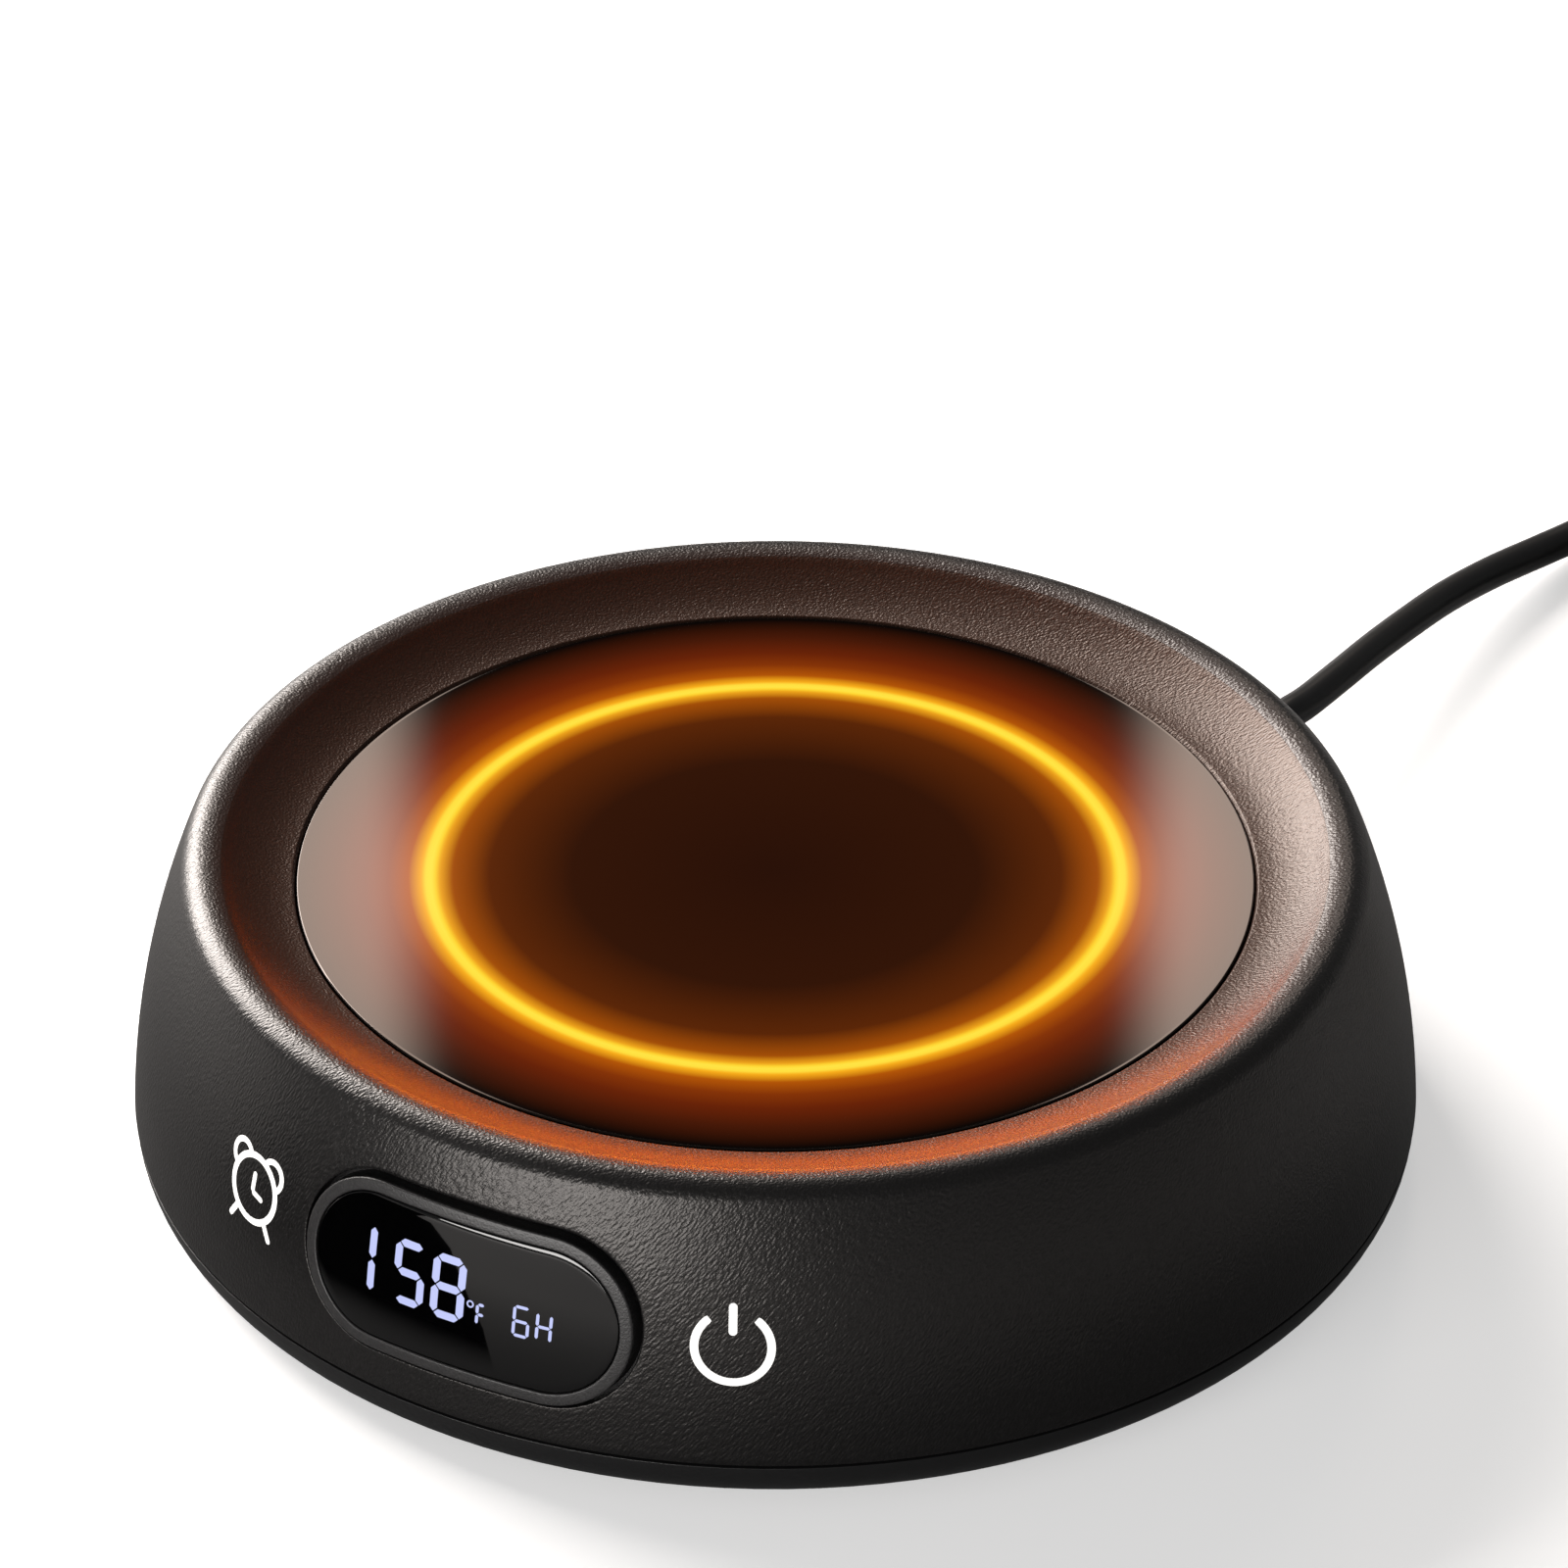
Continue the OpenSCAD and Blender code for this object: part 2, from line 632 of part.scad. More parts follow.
module display_lens() color(gloss_black) {
    intersection() {
        side_layer(0, lens_t);
        on_face() translate([0, 0, -panel_face]) linear_extrude(panel_face + over) stadium(lens_l, lens_h);
    }
}

module base_tray() color(satin_black) {
    head_wall = 1.8;
    flange_room = 0.7;
    difference() {
        union() {
            rotate_extrude() polygon(concat(
                [[0, foot_stand]],
                arc(band_c, band_r, -band_low_a, 0, 10),
                [[band_c[0] + band_r, parting_h - reveal_h], [body_r - reveal_depth, parting_h - reveal_h],
                 [body_r - reveal_depth, parting_h], [lip_r, parting_h], [lip_r, lip_top],
                 [lip_inner_r, lip_top], [lip_inner_r, floor_top], [0, floor_top]]));
            around(screw_angles, screw_circle_r) translate([0, 0, foot_stand])
                cylinder(d = screw_head_d + 2 * pass_fit + 2 * head_wall, h = parting_h - foot_stand);
            around(guide_angles, guide_circle_r) translate([0, 0, foot_stand + tray_floor / 2])
                cylinder(r = guide_tube_r, h = guide_tube_top - foot_stand - tray_floor / 2);
            for (p = board_corners) translate([p[0], p[1], foot_stand + tray_floor / 2])
                cylinder(d = board_post_d, h = board_low - foot_stand - tray_floor / 2);
            switch_stand();
            clamp_saddle();
        }
        around(screw_angles, screw_circle_r) {
            translate([0, 0, foot_stand - over])
                cylinder(d = screw_head_d + 2 * pass_fit, h = over + screw_seat - foot_stand);
            cylinder(d = screw_d + 2 * pass_fit, h = parting_h + over);
        }
        around([45:90:315], foot_circle_r) translate([0, 0, foot_stand - over])
            cylinder(d = foot_d + 2 * ease, h = over + foot_pocket);
        around(guide_angles, guide_circle_r) translate([0, 0, floor_top])
            cylinder(d = guide_d + 2 * guide_fit, h = guide_tube_top);
        for (p = board_corners) translate([p[0], p[1], floor_top])
            cylinder(d = small_screw_d + 2 * pilot_fit, h = board_post_h + over);
        // The lip is open in front of the control board.
        translate([-panel_board_l / 2 - over, -body_r, parting_h])
            cube([panel_board_l + 2 * over, body_r - guide_circle_r - guide_tube_r - over, lip_h + over]);
        at_rear() {
            // The lip is open where the strain relief's flange stands.
            translate([-collar_d / 2 - flange_room, lip_inner_r - over, parting_h])
                cube([collar_d + 2 * flange_room, lip_t + 2 * over, lip_h + over]);
            along_exit(clamp_y - clamp_bar[1], clamp_y + clamp_bar[1]) translate([0, cord_h])
                circle(d = cord_d + 2 * pilot_fit);
            for (x = [-1, 1]) translate([x * clamp_screw_span / 2, clamp_y, floor_top])
                cylinder(d = small_screw_d + 2 * pilot_fit, h = cord_h);
        }
    }
}

// Block on the tray's floor under the weight switch, with two cheeks that hold it.
module switch_stand() {
    cheek = 1.5;
    sunk = 0.5;
    stand = [switch_size[0] + 2 * (cheek + ease), switch_size[1] + 2];
    block([stand[0], stand[1], switch_low - floor_top + sunk], [0, 0], floor_top - sunk);
    for (x = [-1, 1]) translate([x * (stand[0] - cheek) / 2, 0, 0])
        block([cheek, stand[1], switch_size[2] / 2 + sunk], [0, 0], switch_low - sunk);
}

// Lower half of the cord clamp, part of the tray.
module clamp_saddle() {
    at_rear() block([clamp_bar[0], clamp_bar[1], cord_h - foot_stand - tray_floor / 2 - ease],
                    [0, clamp_y], foot_stand + tray_floor / 2);
}

module feet() color("#1b1b1b") {
    edge = 0.5;
    around([45:90:315], foot_circle_r) rotate_extrude() polygon([
        [0, 0], [foot_d / 2 - edge, 0], [foot_d / 2, edge], [foot_d / 2, foot_stand + foot_pocket],
        [0, foot_stand + foot_pocket]]);
}

module case_screws() color(steel) {
    around(screw_angles, screw_circle_r) translate([0, 0, screw_seat])
        screw(screw_d, screw_l - (screw_seat - parting_h) - over, screw_head_d, screw_head_h);
}

module heating_plate() color(gloss_black) {
    rotate_extrude() polygon([[0, plate_low], [plate_r - edge_chamfer, plate_low],
        [plate_r, plate_low + edge_chamfer], [plate_r, plate_top - edge_chamfer],
        [plate_r - edge_chamfer, plate_top], [0, plate_top]]);
}

module heat_spreader() color("#c8cacc") {
    translate([0, 0, spreader_low]) cylinder(r = spreader_r, h = spreader_t);
}

// One mica sheet, with openings for the sensor and for the leads where they pass.
module mica(z, leads) {
    translate([0, 0, z]) linear_extrude(mica_t) difference() {
        circle(r = spreader_r);
        circle(d = pad_hole_d);
        if (leads) for (p = lead_at) translate(p) circle(d = lead_hole_d);
    }
}

module upper_mica() color("#c9b68c") mica(track_top, false);

module lower_mica() color("#c9b68c") mica(stack_low, true);

// Concentric rings that are open at the rear. Each is joined to the next by a bridge at its gap,
// on alternate sides, so that the track is one path from the innermost ring to the outermost.
module heating_element() color("#8d8f93") {
    translate([0, 0, track_low]) linear_extrude(track_t) {
        for (i = [0:track_rings - 1]) difference() {
            circle(r = track_first_r + i * track_pitch + track_w / 2);
            circle(r = track_first_r + i * track_pitch - track_w / 2);
            translate([-track_gap / 2, 0]) square([track_gap, spreader_r]);
        }
        for (i = [0:track_rings - 2]) let (side = i % 2 == 0 ? 1 : -1)
            translate([side * (track_gap + track_w) / 2, track_first_r + (i + 0.5) * track_pitch])
                square([track_w, track_pitch + over], center = true);
        for (p = lead_at) translate(p) circle(d = track_w);
    }
}

module insulation_pad() color("#d9d6cc") {
    translate([0, 0, carrier_top]) linear_extrude(pad_t) difference() {
        circle(r = pad_r);
        circle(d = pad_hole_d);
        for (p = lead_at) translate(p) circle(d = lead_hole_d);
    }
}

module plate_carrier() color("#3a3733") {
    hub_d = pad_hole_d - 2 * over;
    guide_lead = 0.5;
    sunk = 0.5;
    difference() {
        union() {
            rotate_extrude() polygon([[0, carrier_low], [rim_r, carrier_low], [rim_r, stop_z - flange_t],
                [flange_r, stop_z - flange_t], [flange_r, stop_z], [rim_r, stop_z], [rim_r, plate_low],
                [rim_inner_r, plate_low], [rim_inner_r, carrier_top], [0, carrier_top]]);
            translate([0, 0, rib_low]) cylinder(d = hub_d, h = pedestal_top - rib_low);
            for (i = [0:rib_count - 1]) rotate([0, 0, i * 360 / rib_count])
                translate([0, -rib_t / 2, rib_low]) cube([rim_r - over, rib_t, rib_h + sunk]);
            around(guide_angles, guide_circle_r) rotate_extrude() polygon([[0, guide_end],
                [guide_d / 2 - guide_lead, guide_end], [guide_d / 2, guide_end + guide_lead],
                [guide_d / 2, carrier_low + sunk], [0, carrier_low + sunk]]);
        }
        for (p = lead_at) translate([p[0], p[1], rib_low - over])
            cylinder(d = lead_hole_d, h = rib_h + carrier_floor + 2 * over);
    }
}

module thermal_fuse() color("#d8d4c4") {
    translate([pad_hole_d / 4, fuse_l / 2, pedestal_top + fuse_d / 2]) rotate([90, 0, 0])
        cylinder(d = fuse_d, h = fuse_l);
}

module temperature_sensor() color("#2b2b2b") {
    translate([-pad_hole_d / 4, 0, pedestal_top]) cylinder(d = sensor_d, h = fuse_d);
}

module plate_springs() color(steel) {
    around(guide_angles, guide_circle_r) translate([0, 0, guide_tube_top])
        coil_spring(spring_r, spring_wire, spring_l, spring_turns);
}

// The leads bow out a little, so that they can give as the plate goes down.
module heater_leads() color("#b5452e") {
    drop = track_low - board_top;
    bow = 0.5;
    steps = 8;
    for (p = lead_at) tube([for (i = [0:steps]) let (t = max(0, min(1, (i - 1) / (steps - 2))))
        [p[0], p[1] - bow * pow(sin(180 * t), 2), track_low - drop * i / steps]], lead_d / 2, 6, [0, 1, 0]);
}

module weight_switch() color("#202124") {
    well = plunger_in + plate_travel + 0.5;
    difference() {
        block(switch_size, [0, 0], switch_low);
        translate([0, 0, switch_top - well]) cylinder(d = plunger_d + 2 * plunger_fit, h = well + over);
    }
}

module switch_plunger() color("#c23a2e") {
    translate([0, 0, switch_top - plunger_in]) cylinder(d = plunger_d, h = plunger_out + plunger_in);
}

module display_module() color("#26282b") {
    on_face() translate([-module_l / 2, -module_h / 2, -panel_face]) cube([module_l, module_h, module_t]);
}

module control_board() color(board_green) {
    on_face() difference() {
        translate([-panel_board_l / 2, -panel_board_low, -panel_face - board_t])
            cube([panel_board_l, panel_board_low + panel_board_top, board_t]);
        for (p = panel_screws) translate([p[0], p[1], -panel_face - board_t - over])
            cylinder(d = small_screw_d + 2 * pass_fit, h = board_t + 2 * over);
    }
}

// Each spring reaches from the control board to the back of the shell behind its touch sign.
module touch_springs() color("#c79a4a") {
    wall_r = side_x(window_h, shell_wall);
    board_r = (side_x(window_h) - panel_face) / cos(touch_angle);
    lean = touch_d / 2 * tan(touch_angle);
    disc_t = 0.3;
    pin_d = 1;
    pin_in = 0.5;
    foot_r = board_r + lean + disc_t;
    for (s = [-1, 1]) rotate([0, 0, s * touch_angle]) translate([0, -foot_r, window_h]) rotate([90, 0, 0]) {
        coil_spring((touch_d - touch_wire) / 2, touch_wire, wall_r - foot_r - ease, touch_turns, 10, 6);
        translate([0, 0, -disc_t]) cylinder(d = touch_d, h = disc_t + glue);
        translate([0, 0, board_r - foot_r - pin_in]) cylinder(d = pin_d, h = foot_r - board_r + pin_in);
    }
}

// Flat cable along the tray's floor, up to each board.
module board_cable() color("#8a8d92") {
    cable_w = 8;
    cable_t = 0.8;
    cable_x = 8.6;
    socket = [cable_w, 3.5, 3.5];
    socket_v = -panel_board_low + 0.5;
    socket_deep = panel_face + board_t + socket[2];
    // The cable enters the front socket this far up from its low edge and in from its back.
    entry = [1, 1.5];
    up = socket_v + entry[0];
    back = socket_deep - entry[1];
    front_y = -side_x(window_h) + up * sin(face_tilt) + back * cos(face_tilt);
    front_z = window_h + up * cos(face_tilt) - back * sin(face_tilt);
    rear_y = power_board_y - 1.5;
    rear_socket = [5, 1.6];
    translate([cable_x, 0, 0]) rotate([90, 0, 90]) linear_extrude(cable_w) {
        translate([front_y, floor_top]) square([rear_y - front_y, cable_t]);
        translate([front_y - cable_t / 2, floor_top]) square([cable_t, front_z - floor_top]);
        translate([rear_y - cable_t, floor_top]) square([cable_t, board_top - floor_top + rear_socket[1]]);
        translate([rear_y - cable_t, board_top]) square(rear_socket);
    }
    on_face() translate([cable_x, socket_v, -socket_deep]) cube(socket);
}

module power_board() color(board_green) {
    difference() {
        block([power_board_l, power_board_w, board_t], [0, power_board_y + power_board_w / 2], board_low);
        for (p = board_corners) translate([p[0], p[1], board_low - over])
            cylinder(d = small_screw_d + 2 * pass_fit, h = board_t + 2 * over);
    }
}

module transformer() color("#d2b23a") {
    foot = [winding_size[0], 2, 0.8];
    block([core_size[0], core_size[1], tall_part_h], transformer_at, board_top);
    block([winding_size[0], winding_size[1], tall_part_h - 2 * foot[2]], transformer_at, board_top + foot[2]);
    for (y = [-1, 1]) block([foot[0], foot[1], foot[2] + glue],
        transformer_at + [0, y * (winding_size[1] - foot[1]) / 2], board_top);
}

module filter_capacitors() color("#2c3a63") {
    r = capacitor_d / 2;
    edge = 0.4;
    for (p = capacitor_at) translate([p[0], p[1], board_top]) rotate_extrude() polygon([[0, 0], [r, 0],
        [r, tall_part_h - edge], [r - edge, tall_part_h], [0, tall_part_h]]);
}

module power_relay() color("#2a5d8f") {
    block([relay_size[0], relay_size[1], tall_part_h - over], relay_at, board_top);
}

module terminal_block() color("#3f7f52") {
    difference() {
        block(terminal_size, terminal_at, board_top);
        for (s = [-1, 1])
            translate([terminal_at[0] + s * terminal_span / 2,
                       terminal_at[1] + terminal_size[1] / 2 - terminal_bore_l, board_top + terminal_h])
            rotate([-90, 0, 0]) cylinder(d = terminal_bore_d, h = terminal_bore_l + over);
    }
}

module board_screws() color(steel) {
    for (p = board_corners) translate([p[0], p[1], board_top]) rotate([180, 0, 0])
        screw(small_screw_d, small_screw_l, small_head_d, small_head_h);
    on_face() for (p = panel_screws) translate([p[0], p[1], -panel_face - board_t])
        screw(small_screw_d, small_screw_l - over / 2, small_head_d, small_head_h);
}

module supply_lead() color("#1a1a1a") {
    core_d = 1.5;
    core_off = 0.95;
    sheath_end = sheath_end_y * exit_dir + [0, 0, cord_h];
    at_rear() along_exit(sheath_end_y, relief_flange_y - collar_t) translate([0, cord_h]) circle(d = cord_d);
    for (s = [-1, 1]) {
        entry = [terminal_at[0] + s * terminal_span / 2,
                 terminal_at[1] + (terminal_size[1] - terminal_bore_l) / 2, board_top + terminal_h];
        from = sheath_end + [s * core_off, 0, 0];
        tube([from + [0, 0.6, 0], from - [0, 1, 0], (from + entry) / 2 + [0, 0.6, 0.4], entry + [0, 2.4, 0],
              entry], core_d / 2, 6);
    }
}

module cord_clamp() color("#2f3033") {
    at_rear() difference() {
        block(clamp_bar, [0, clamp_y], cord_h + ease);
        along_exit(clamp_y - clamp_bar[1], clamp_y + clamp_bar[1]) translate([0, cord_h])
            circle(d = cord_d + 2 * pilot_fit);
        for (x = [-1, 1]) translate([x * clamp_screw_span / 2, clamp_y, cord_h])
            cylinder(d = small_screw_d + 2 * pass_fit, h = clamp_bar[2] + over);
    }
}

module clamp_screws() color(steel) {
    at_rear() for (x = [-1, 1]) translate([x * clamp_screw_span / 2, clamp_y, cord_h + ease + clamp_bar[2]])
        rotate([180, 0, 0]) screw(small_screw_d, clamp_bar[2] + clamp_screw_in, small_head_d, small_head_h);
}

// Flange inside the wall, square-footed neck in the notch, collar and a ribbed taper outside.
module strain_relief() color("#1a1a1a") {
    ribs = 4;
    rib_cut = 0.7;
    cut_w = 0.8;
    edge = 0.4;
    taper_y = relief_collar_y + collar_t;
    rib_pitch = (relief_tip_y - taper_y) / (ribs + 1);
    root_r = collar_d / 2 - 0.9;
    slope = (root_r - relief_tip_d / 2) / (relief_tip_y - taper_y);
    taper_r = function(y) root_r - slope * (y - taper_y);
    at_rear() {
        along_exit(relief_flange_y - collar_t / 2, relief_collar_y + collar_t / 2) neck_section(0);
        along_exit(relief_flange_y - collar_t, relief_flange_y) intersection() {
            translate([0, cord_h]) circle(d = collar_d);
            above_parting();
        }
        translate([0, 0, cord_h]) rotate([-90, 0, 0]) rotate_extrude() polygon(concat(
            [[0, relief_collar_y], [collar_d / 2 - edge, relief_collar_y],
             [collar_d / 2, relief_collar_y + edge], [collar_d / 2, taper_y - edge],
             [collar_d / 2 - edge, taper_y]],
            [for (i = [1:ribs]) let (y = taper_y + rib_pitch * i) each [
                [taper_r(y - rib_cut), y - rib_cut], [taper_r(y) - rib_cut, y - cut_w / 2],
                [taper_r(y) - rib_cut, y + cut_w / 2], [taper_r(y + rib_cut), y + rib_cut]]],
            [[relief_tip_d / 2, relief_tip_y - edge], [relief_tip_d / 2 - edge, relief_tip_y],
             [0, relief_tip_y]]));
    }
}

module power_cord() color("#1a1a1a") {
    tube(concat([cord_start, cord_start + cord_straight * exit_dir], cord_route), cord_d / 2, 10);
}

module cord_coil() color("#1a1a1a") {
    edge = 1;
    translate([coil_c[0], coil_c[1], 0]) rotate_extrude() polygon([[coil_inner_r + edge, 0],
        [coil_outer_r - edge, 0], [coil_outer_r, edge], [coil_outer_r, coil_h / 2 - 0.4],
        [coil_top_r, coil_h],
        [coil_inner_r + edge, coil_h], [coil_inner_r, coil_h - edge], [coil_inner_r, edge]]);
}

module cord_tail() color("#1a1a1a") {
    tube(concat(tail_route, [plug_at]), cord_d / 2, 10);
}

// A slice of the plug at distance y from the cord's end, a share of its full width and height.
module plug_section(w_share, h_share, y) {
    w = plug_size[0] * w_share;
    h = plug_size[1] * h_share;
    slice_t = 0.5;
    translate([0, y, 0]) rotate([90, 0, 0]) linear_extrude(slice_t) {
        square([w - 2 * plug_r, h], center = true);
        square([w, h - 2 * plug_r], center = true);
        for (x = [-1, 1], z = [-1, 1]) translate([x * (w / 2 - plug_r), z * (h / 2 - plug_r)])
            circle(r = plug_r, $fn = 24);
    }
}

// The plug's blades point along local +Y, and the cord enters at the origin.
module at_plug() {
    translate(plug_at) rotate([0, 0, 180]) children();
}

module plug_body() color("#1a1a1a") {
    grip_rings = 3;
    ring_cut = 0.6;
    cut_w = 0.8;
    sleeve_r = cord_d / 2 + 0.7;
    flare = 0.35;
    sunk = 0.2;
    at_plug() {
        hull() {
            plug_section(0.52, 0.6, plug_tail_l + 0.5);
            plug_section(0.8, 0.86, plug_tail_l + plug_l * 0.35);
            plug_section(0.97, 0.97, plug_tail_l + plug_l * 0.62);
            plug_section(1, 1, plug_face_y - 1);
            plug_section(0.94, 0.92, plug_face_y);
        }
        rotate([-90, 0, 0]) rotate_extrude() polygon(concat([[0, 0], [sleeve_r, 0]],
            [for (i = [1:grip_rings])
                let (y = plug_tail_l * i / (grip_rings + 1), r = sleeve_r + flare * i) each [
                [r, y - ring_cut], [r - ring_cut, y - cut_w / 2], [r - ring_cut, y + cut_w / 2],
                [r, y + ring_cut]]],
            [[sleeve_r + flare * (grip_rings + 1), plug_tail_l + sunk], [0, plug_tail_l + sunk]]));
    }
}

module plug_blades() color("#c9b26a") {
    tip = 1.4;
    half_w = blade_size[2] / 2;
    hole_d = 3.2;
    hole_inset = 4.5;
    at_plug() for (s = [-1, 1]) translate([s * blade_span / 2 - blade_size[0] / 2, plug_face_y, 0])
        rotate([90, 0, 90]) linear_extrude(blade_size[0]) difference() {
            polygon([[0, -half_w], [blade_size[1] - tip, -half_w], [blade_size[1], -half_w + tip],
                     [blade_size[1], half_w - tip], [blade_size[1] - tip, half_w], [0, half_w]]);
            translate([blade_size[1] - hole_inset, 0]) circle(d = hole_d);
        }
}

upper_shell();
dish_ring();
display_bezel();
display_lens();
base_tray();
feet();
case_screws();
heating_plate();
heat_spreader();
upper_mica();
heating_element();
lower_mica();
insulation_pad();
plate_carrier();
thermal_fuse();
temperature_sensor();
plate_springs();
heater_leads();
weight_switch();
switch_plunger();
display_module();
control_board();
touch_springs();
board_cable();
power_board();
transformer();
filter_capacitors();
power_relay();
terminal_block();
board_screws();
supply_lead();
cord_clamp();
clamp_screws();
strain_relief();
power_cord();
cord_coil();
cord_tail();
plug_body();
plug_blades();
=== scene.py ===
from math import asin, atan2, ceil, cos, degrees, hypot, pi, radians, sin, sqrt

import bmesh
import bpy
from mathutils import Matrix, Vector


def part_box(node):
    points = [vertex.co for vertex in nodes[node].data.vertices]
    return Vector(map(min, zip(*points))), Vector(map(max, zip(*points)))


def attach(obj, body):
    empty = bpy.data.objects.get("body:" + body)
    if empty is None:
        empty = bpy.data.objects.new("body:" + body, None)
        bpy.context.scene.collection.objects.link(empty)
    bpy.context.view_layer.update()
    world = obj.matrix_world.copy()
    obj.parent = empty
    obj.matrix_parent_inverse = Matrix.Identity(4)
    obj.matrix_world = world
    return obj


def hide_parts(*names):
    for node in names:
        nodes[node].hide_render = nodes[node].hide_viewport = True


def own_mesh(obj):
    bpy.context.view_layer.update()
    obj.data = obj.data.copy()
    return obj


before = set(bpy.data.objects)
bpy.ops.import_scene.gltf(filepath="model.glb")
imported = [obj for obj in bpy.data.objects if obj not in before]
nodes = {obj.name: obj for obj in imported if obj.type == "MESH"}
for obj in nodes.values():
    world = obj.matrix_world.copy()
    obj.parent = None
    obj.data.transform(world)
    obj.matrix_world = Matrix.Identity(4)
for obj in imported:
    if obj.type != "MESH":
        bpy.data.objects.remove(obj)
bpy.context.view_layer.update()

# Looks of the mug warmer. Sizes here are in millimetres; meshes are scaled to metres as they are made.
mm = 0.001
print("frame:", len(nodes), "nodes")

for leftover in ("Cube", "Light", "Camera"):
    if leftover in bpy.data.objects:
        bpy.data.objects.remove(bpy.data.objects[leftover])


# Shared mesh helpers
def addObject(name, data, material=None):
    piece = bpy.data.objects.new(name, data)
    bpy.context.scene.collection.objects.link(piece)
    if material:
        data.materials.clear()
        data.materials.append(material)
    return piece


def smoothShade(mesh, crease):
    mesh.shade_smooth()
    mesh.set_sharp_from_angle(angle=radians(crease))


def tidyMesh(mesh, crease, merge):
    # doubles within merge go, and the faces point outwards
    work = bmesh.new()
    work.from_mesh(mesh)
    if merge:
        bmesh.ops.remove_doubles(work, verts=work.verts, dist=merge * mm)
    bmesh.ops.dissolve_degenerate(work, edges=work.edges, dist=merge * mm / 2)
    bmesh.ops.recalc_face_normals(work, faces=work.faces)
    work.to_mesh(mesh)
    work.free()
    smoothShade(mesh, crease)


def meshPiece(name, points, faces, material, crease=40, merge=0.0005):
    mesh = bpy.data.meshes.new(name)
    mesh.from_pydata([(x * mm, y * mm, z * mm) for x, y, z in points], [], faces)
    tidyMesh(mesh, crease, merge)
    return addObject(name, mesh, material)


def bakedCopy(source, name, material=None, crease=40):
    # the evaluated object as a plain mesh, in place of the one with modifiers; without a crease its shading stays
    bpy.context.view_layer.update()
    evaluated = source.evaluated_get(bpy.context.evaluated_depsgraph_get())
    mesh = bpy.data.meshes.new_from_object(evaluated)
    bpy.data.objects.remove(source)
    mesh.name = name
    if crease:
        smoothShade(mesh, crease)
    return addObject(name, mesh, material)


def mergedCopy(node, name, material, crease=35):
    # a smooth-shaded copy of a CAD node's own shape, whose wide flat faces keep their own normals
    mesh = nodes[node].data.copy()
    tidyMesh(mesh, crease, 0.001)
    source = addObject(name + "Source", mesh)
    source.modifiers.new("weigh", "WEIGHTED_NORMAL").keep_sharp = True
    return bakedCopy(source, name, material, crease=0)


def joinPieces(name, parts, crease=38):
    # the parts as one piece, with the first one's material
    work = bmesh.new()
    for part in parts:
        work.from_mesh(part.data)
    mesh = bpy.data.meshes.new(name)
    work.to_mesh(mesh)
    work.free()
    material = parts[0].data.materials[0]
    for part in parts:
        bpy.data.objects.remove(part)
    smoothShade(mesh, crease)
    return addObject(name, mesh, material)


def cutAway(target, cutter, name, crease, ownOverlaps=False):
    # target less cutter, as a plain mesh
    material = target.data.materials[0]
    cut = target.modifiers.new("cut", "BOOLEAN")
    cut.operation, cut.object, cut.solver, cut.use_self = "DIFFERENCE", cutter, "EXACT", ownOverlaps
    result = bakedCopy(target, name, material, crease)
    bpy.data.objects.remove(cutter)
    return result


def addLoop(points, places):
    points.extend(places)
    return range(len(points) - len(places), len(points))


def bridgeLoops(faces, first, second):
    count = len(first)
    faces.extend((first[i], first[(i + 1) % count], second[(i + 1) % count], second[i]) for i in range(count))


def loft(points, faces, sections, caps=True, around=False):
    # faces from each section to the next, with end caps, or all the way round
    loops = [addLoop(points, list(places)) for places in sections]
    for first, second in zip(loops, loops[1:] + loops[:1] if around else loops[1:]):
        bridgeLoops(faces, first, second)
    if caps:
        faces.extend([tuple(reversed(loops[0])), tuple(loops[-1])])


def dress(piece, body, slot, *replaced):
    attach(piece, body)
    if replaced:
        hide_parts(*replaced)


# Camera
camera = {"place": (0.36315, -0.66687, 0.5389), "look": (-0.39990, 0.73651, -0.54556), "lens": 193.0, "sensor": 36.0}

cameraData = bpy.data.cameras.new("camera")
cameraData.lens = camera["lens"]
cameraData.sensor_width = camera["sensor"]
cameraData.clip_start = 0.05
cameraObject = addObject("camera", cameraData)
cameraObject.location = camera["place"]
cameraObject.rotation_euler = Vector(camera["look"]).to_track_quat("-Z", "Y").to_euler()
bpy.context.scene.camera = cameraObject
print("camera set")


# The body's own curves
wall = {"parting": 6.3, "height": 37.0, "arcRadius": 90.0, "arcX": -19.4256, "arcZ": 2.6410, "thickness": 2.2,
        "crest": 62.0, "shoulder": 2.6, "crestRound": 5.2, "seam": 60.0, "seamTop": 36.6}
face = {"height": 20.2, "lensLength": 36.2, "lensHeight": 16.2, "shift": (-0.35, 0.35), "lineSteps": 14, "arcSteps": 38}


def turned(angle, x, y, z):
    # a place turned about the upright axis, by degrees
    c, s = cos(radians(angle)), sin(radians(angle))
    return (x * c - y * s, x * s + y * c, z)


def wallRadius(z, deep=0.0):
    return wall["arcX"] + sqrt((wall["arcRadius"] - deep) ** 2 - (z - wall["arcZ"]) ** 2)


def fromFront(azimuth, r, z):
    # azimuth is from the front centre, towards +X
    return (r * sin(azimuth), -r * cos(azimuth), z)


face["radius"] = wallRadius(face["height"])
face["tilt"] = asin((face["height"] - wall["arcZ"]) / wall["arcRadius"])


def slopePoint(across, up, lift):
    # across and up the window's slope, and lift outwards from its flat middle
    c, s = cos(face["tilt"]), sin(face["tilt"])
    return (across, -face["radius"] + up * s - lift * c, face["height"] + up * c + lift * s)


def facePoint(across, up, deep=0.0):
    # the same on the layer that lies deep under the wall's surface
    lift = -deep
    for _ in range(9):
        x, y, z = slopePoint(across, up, lift)
        lift -= hypot(x, y) - wallRadius(z, deep)
    return (x, y, z)


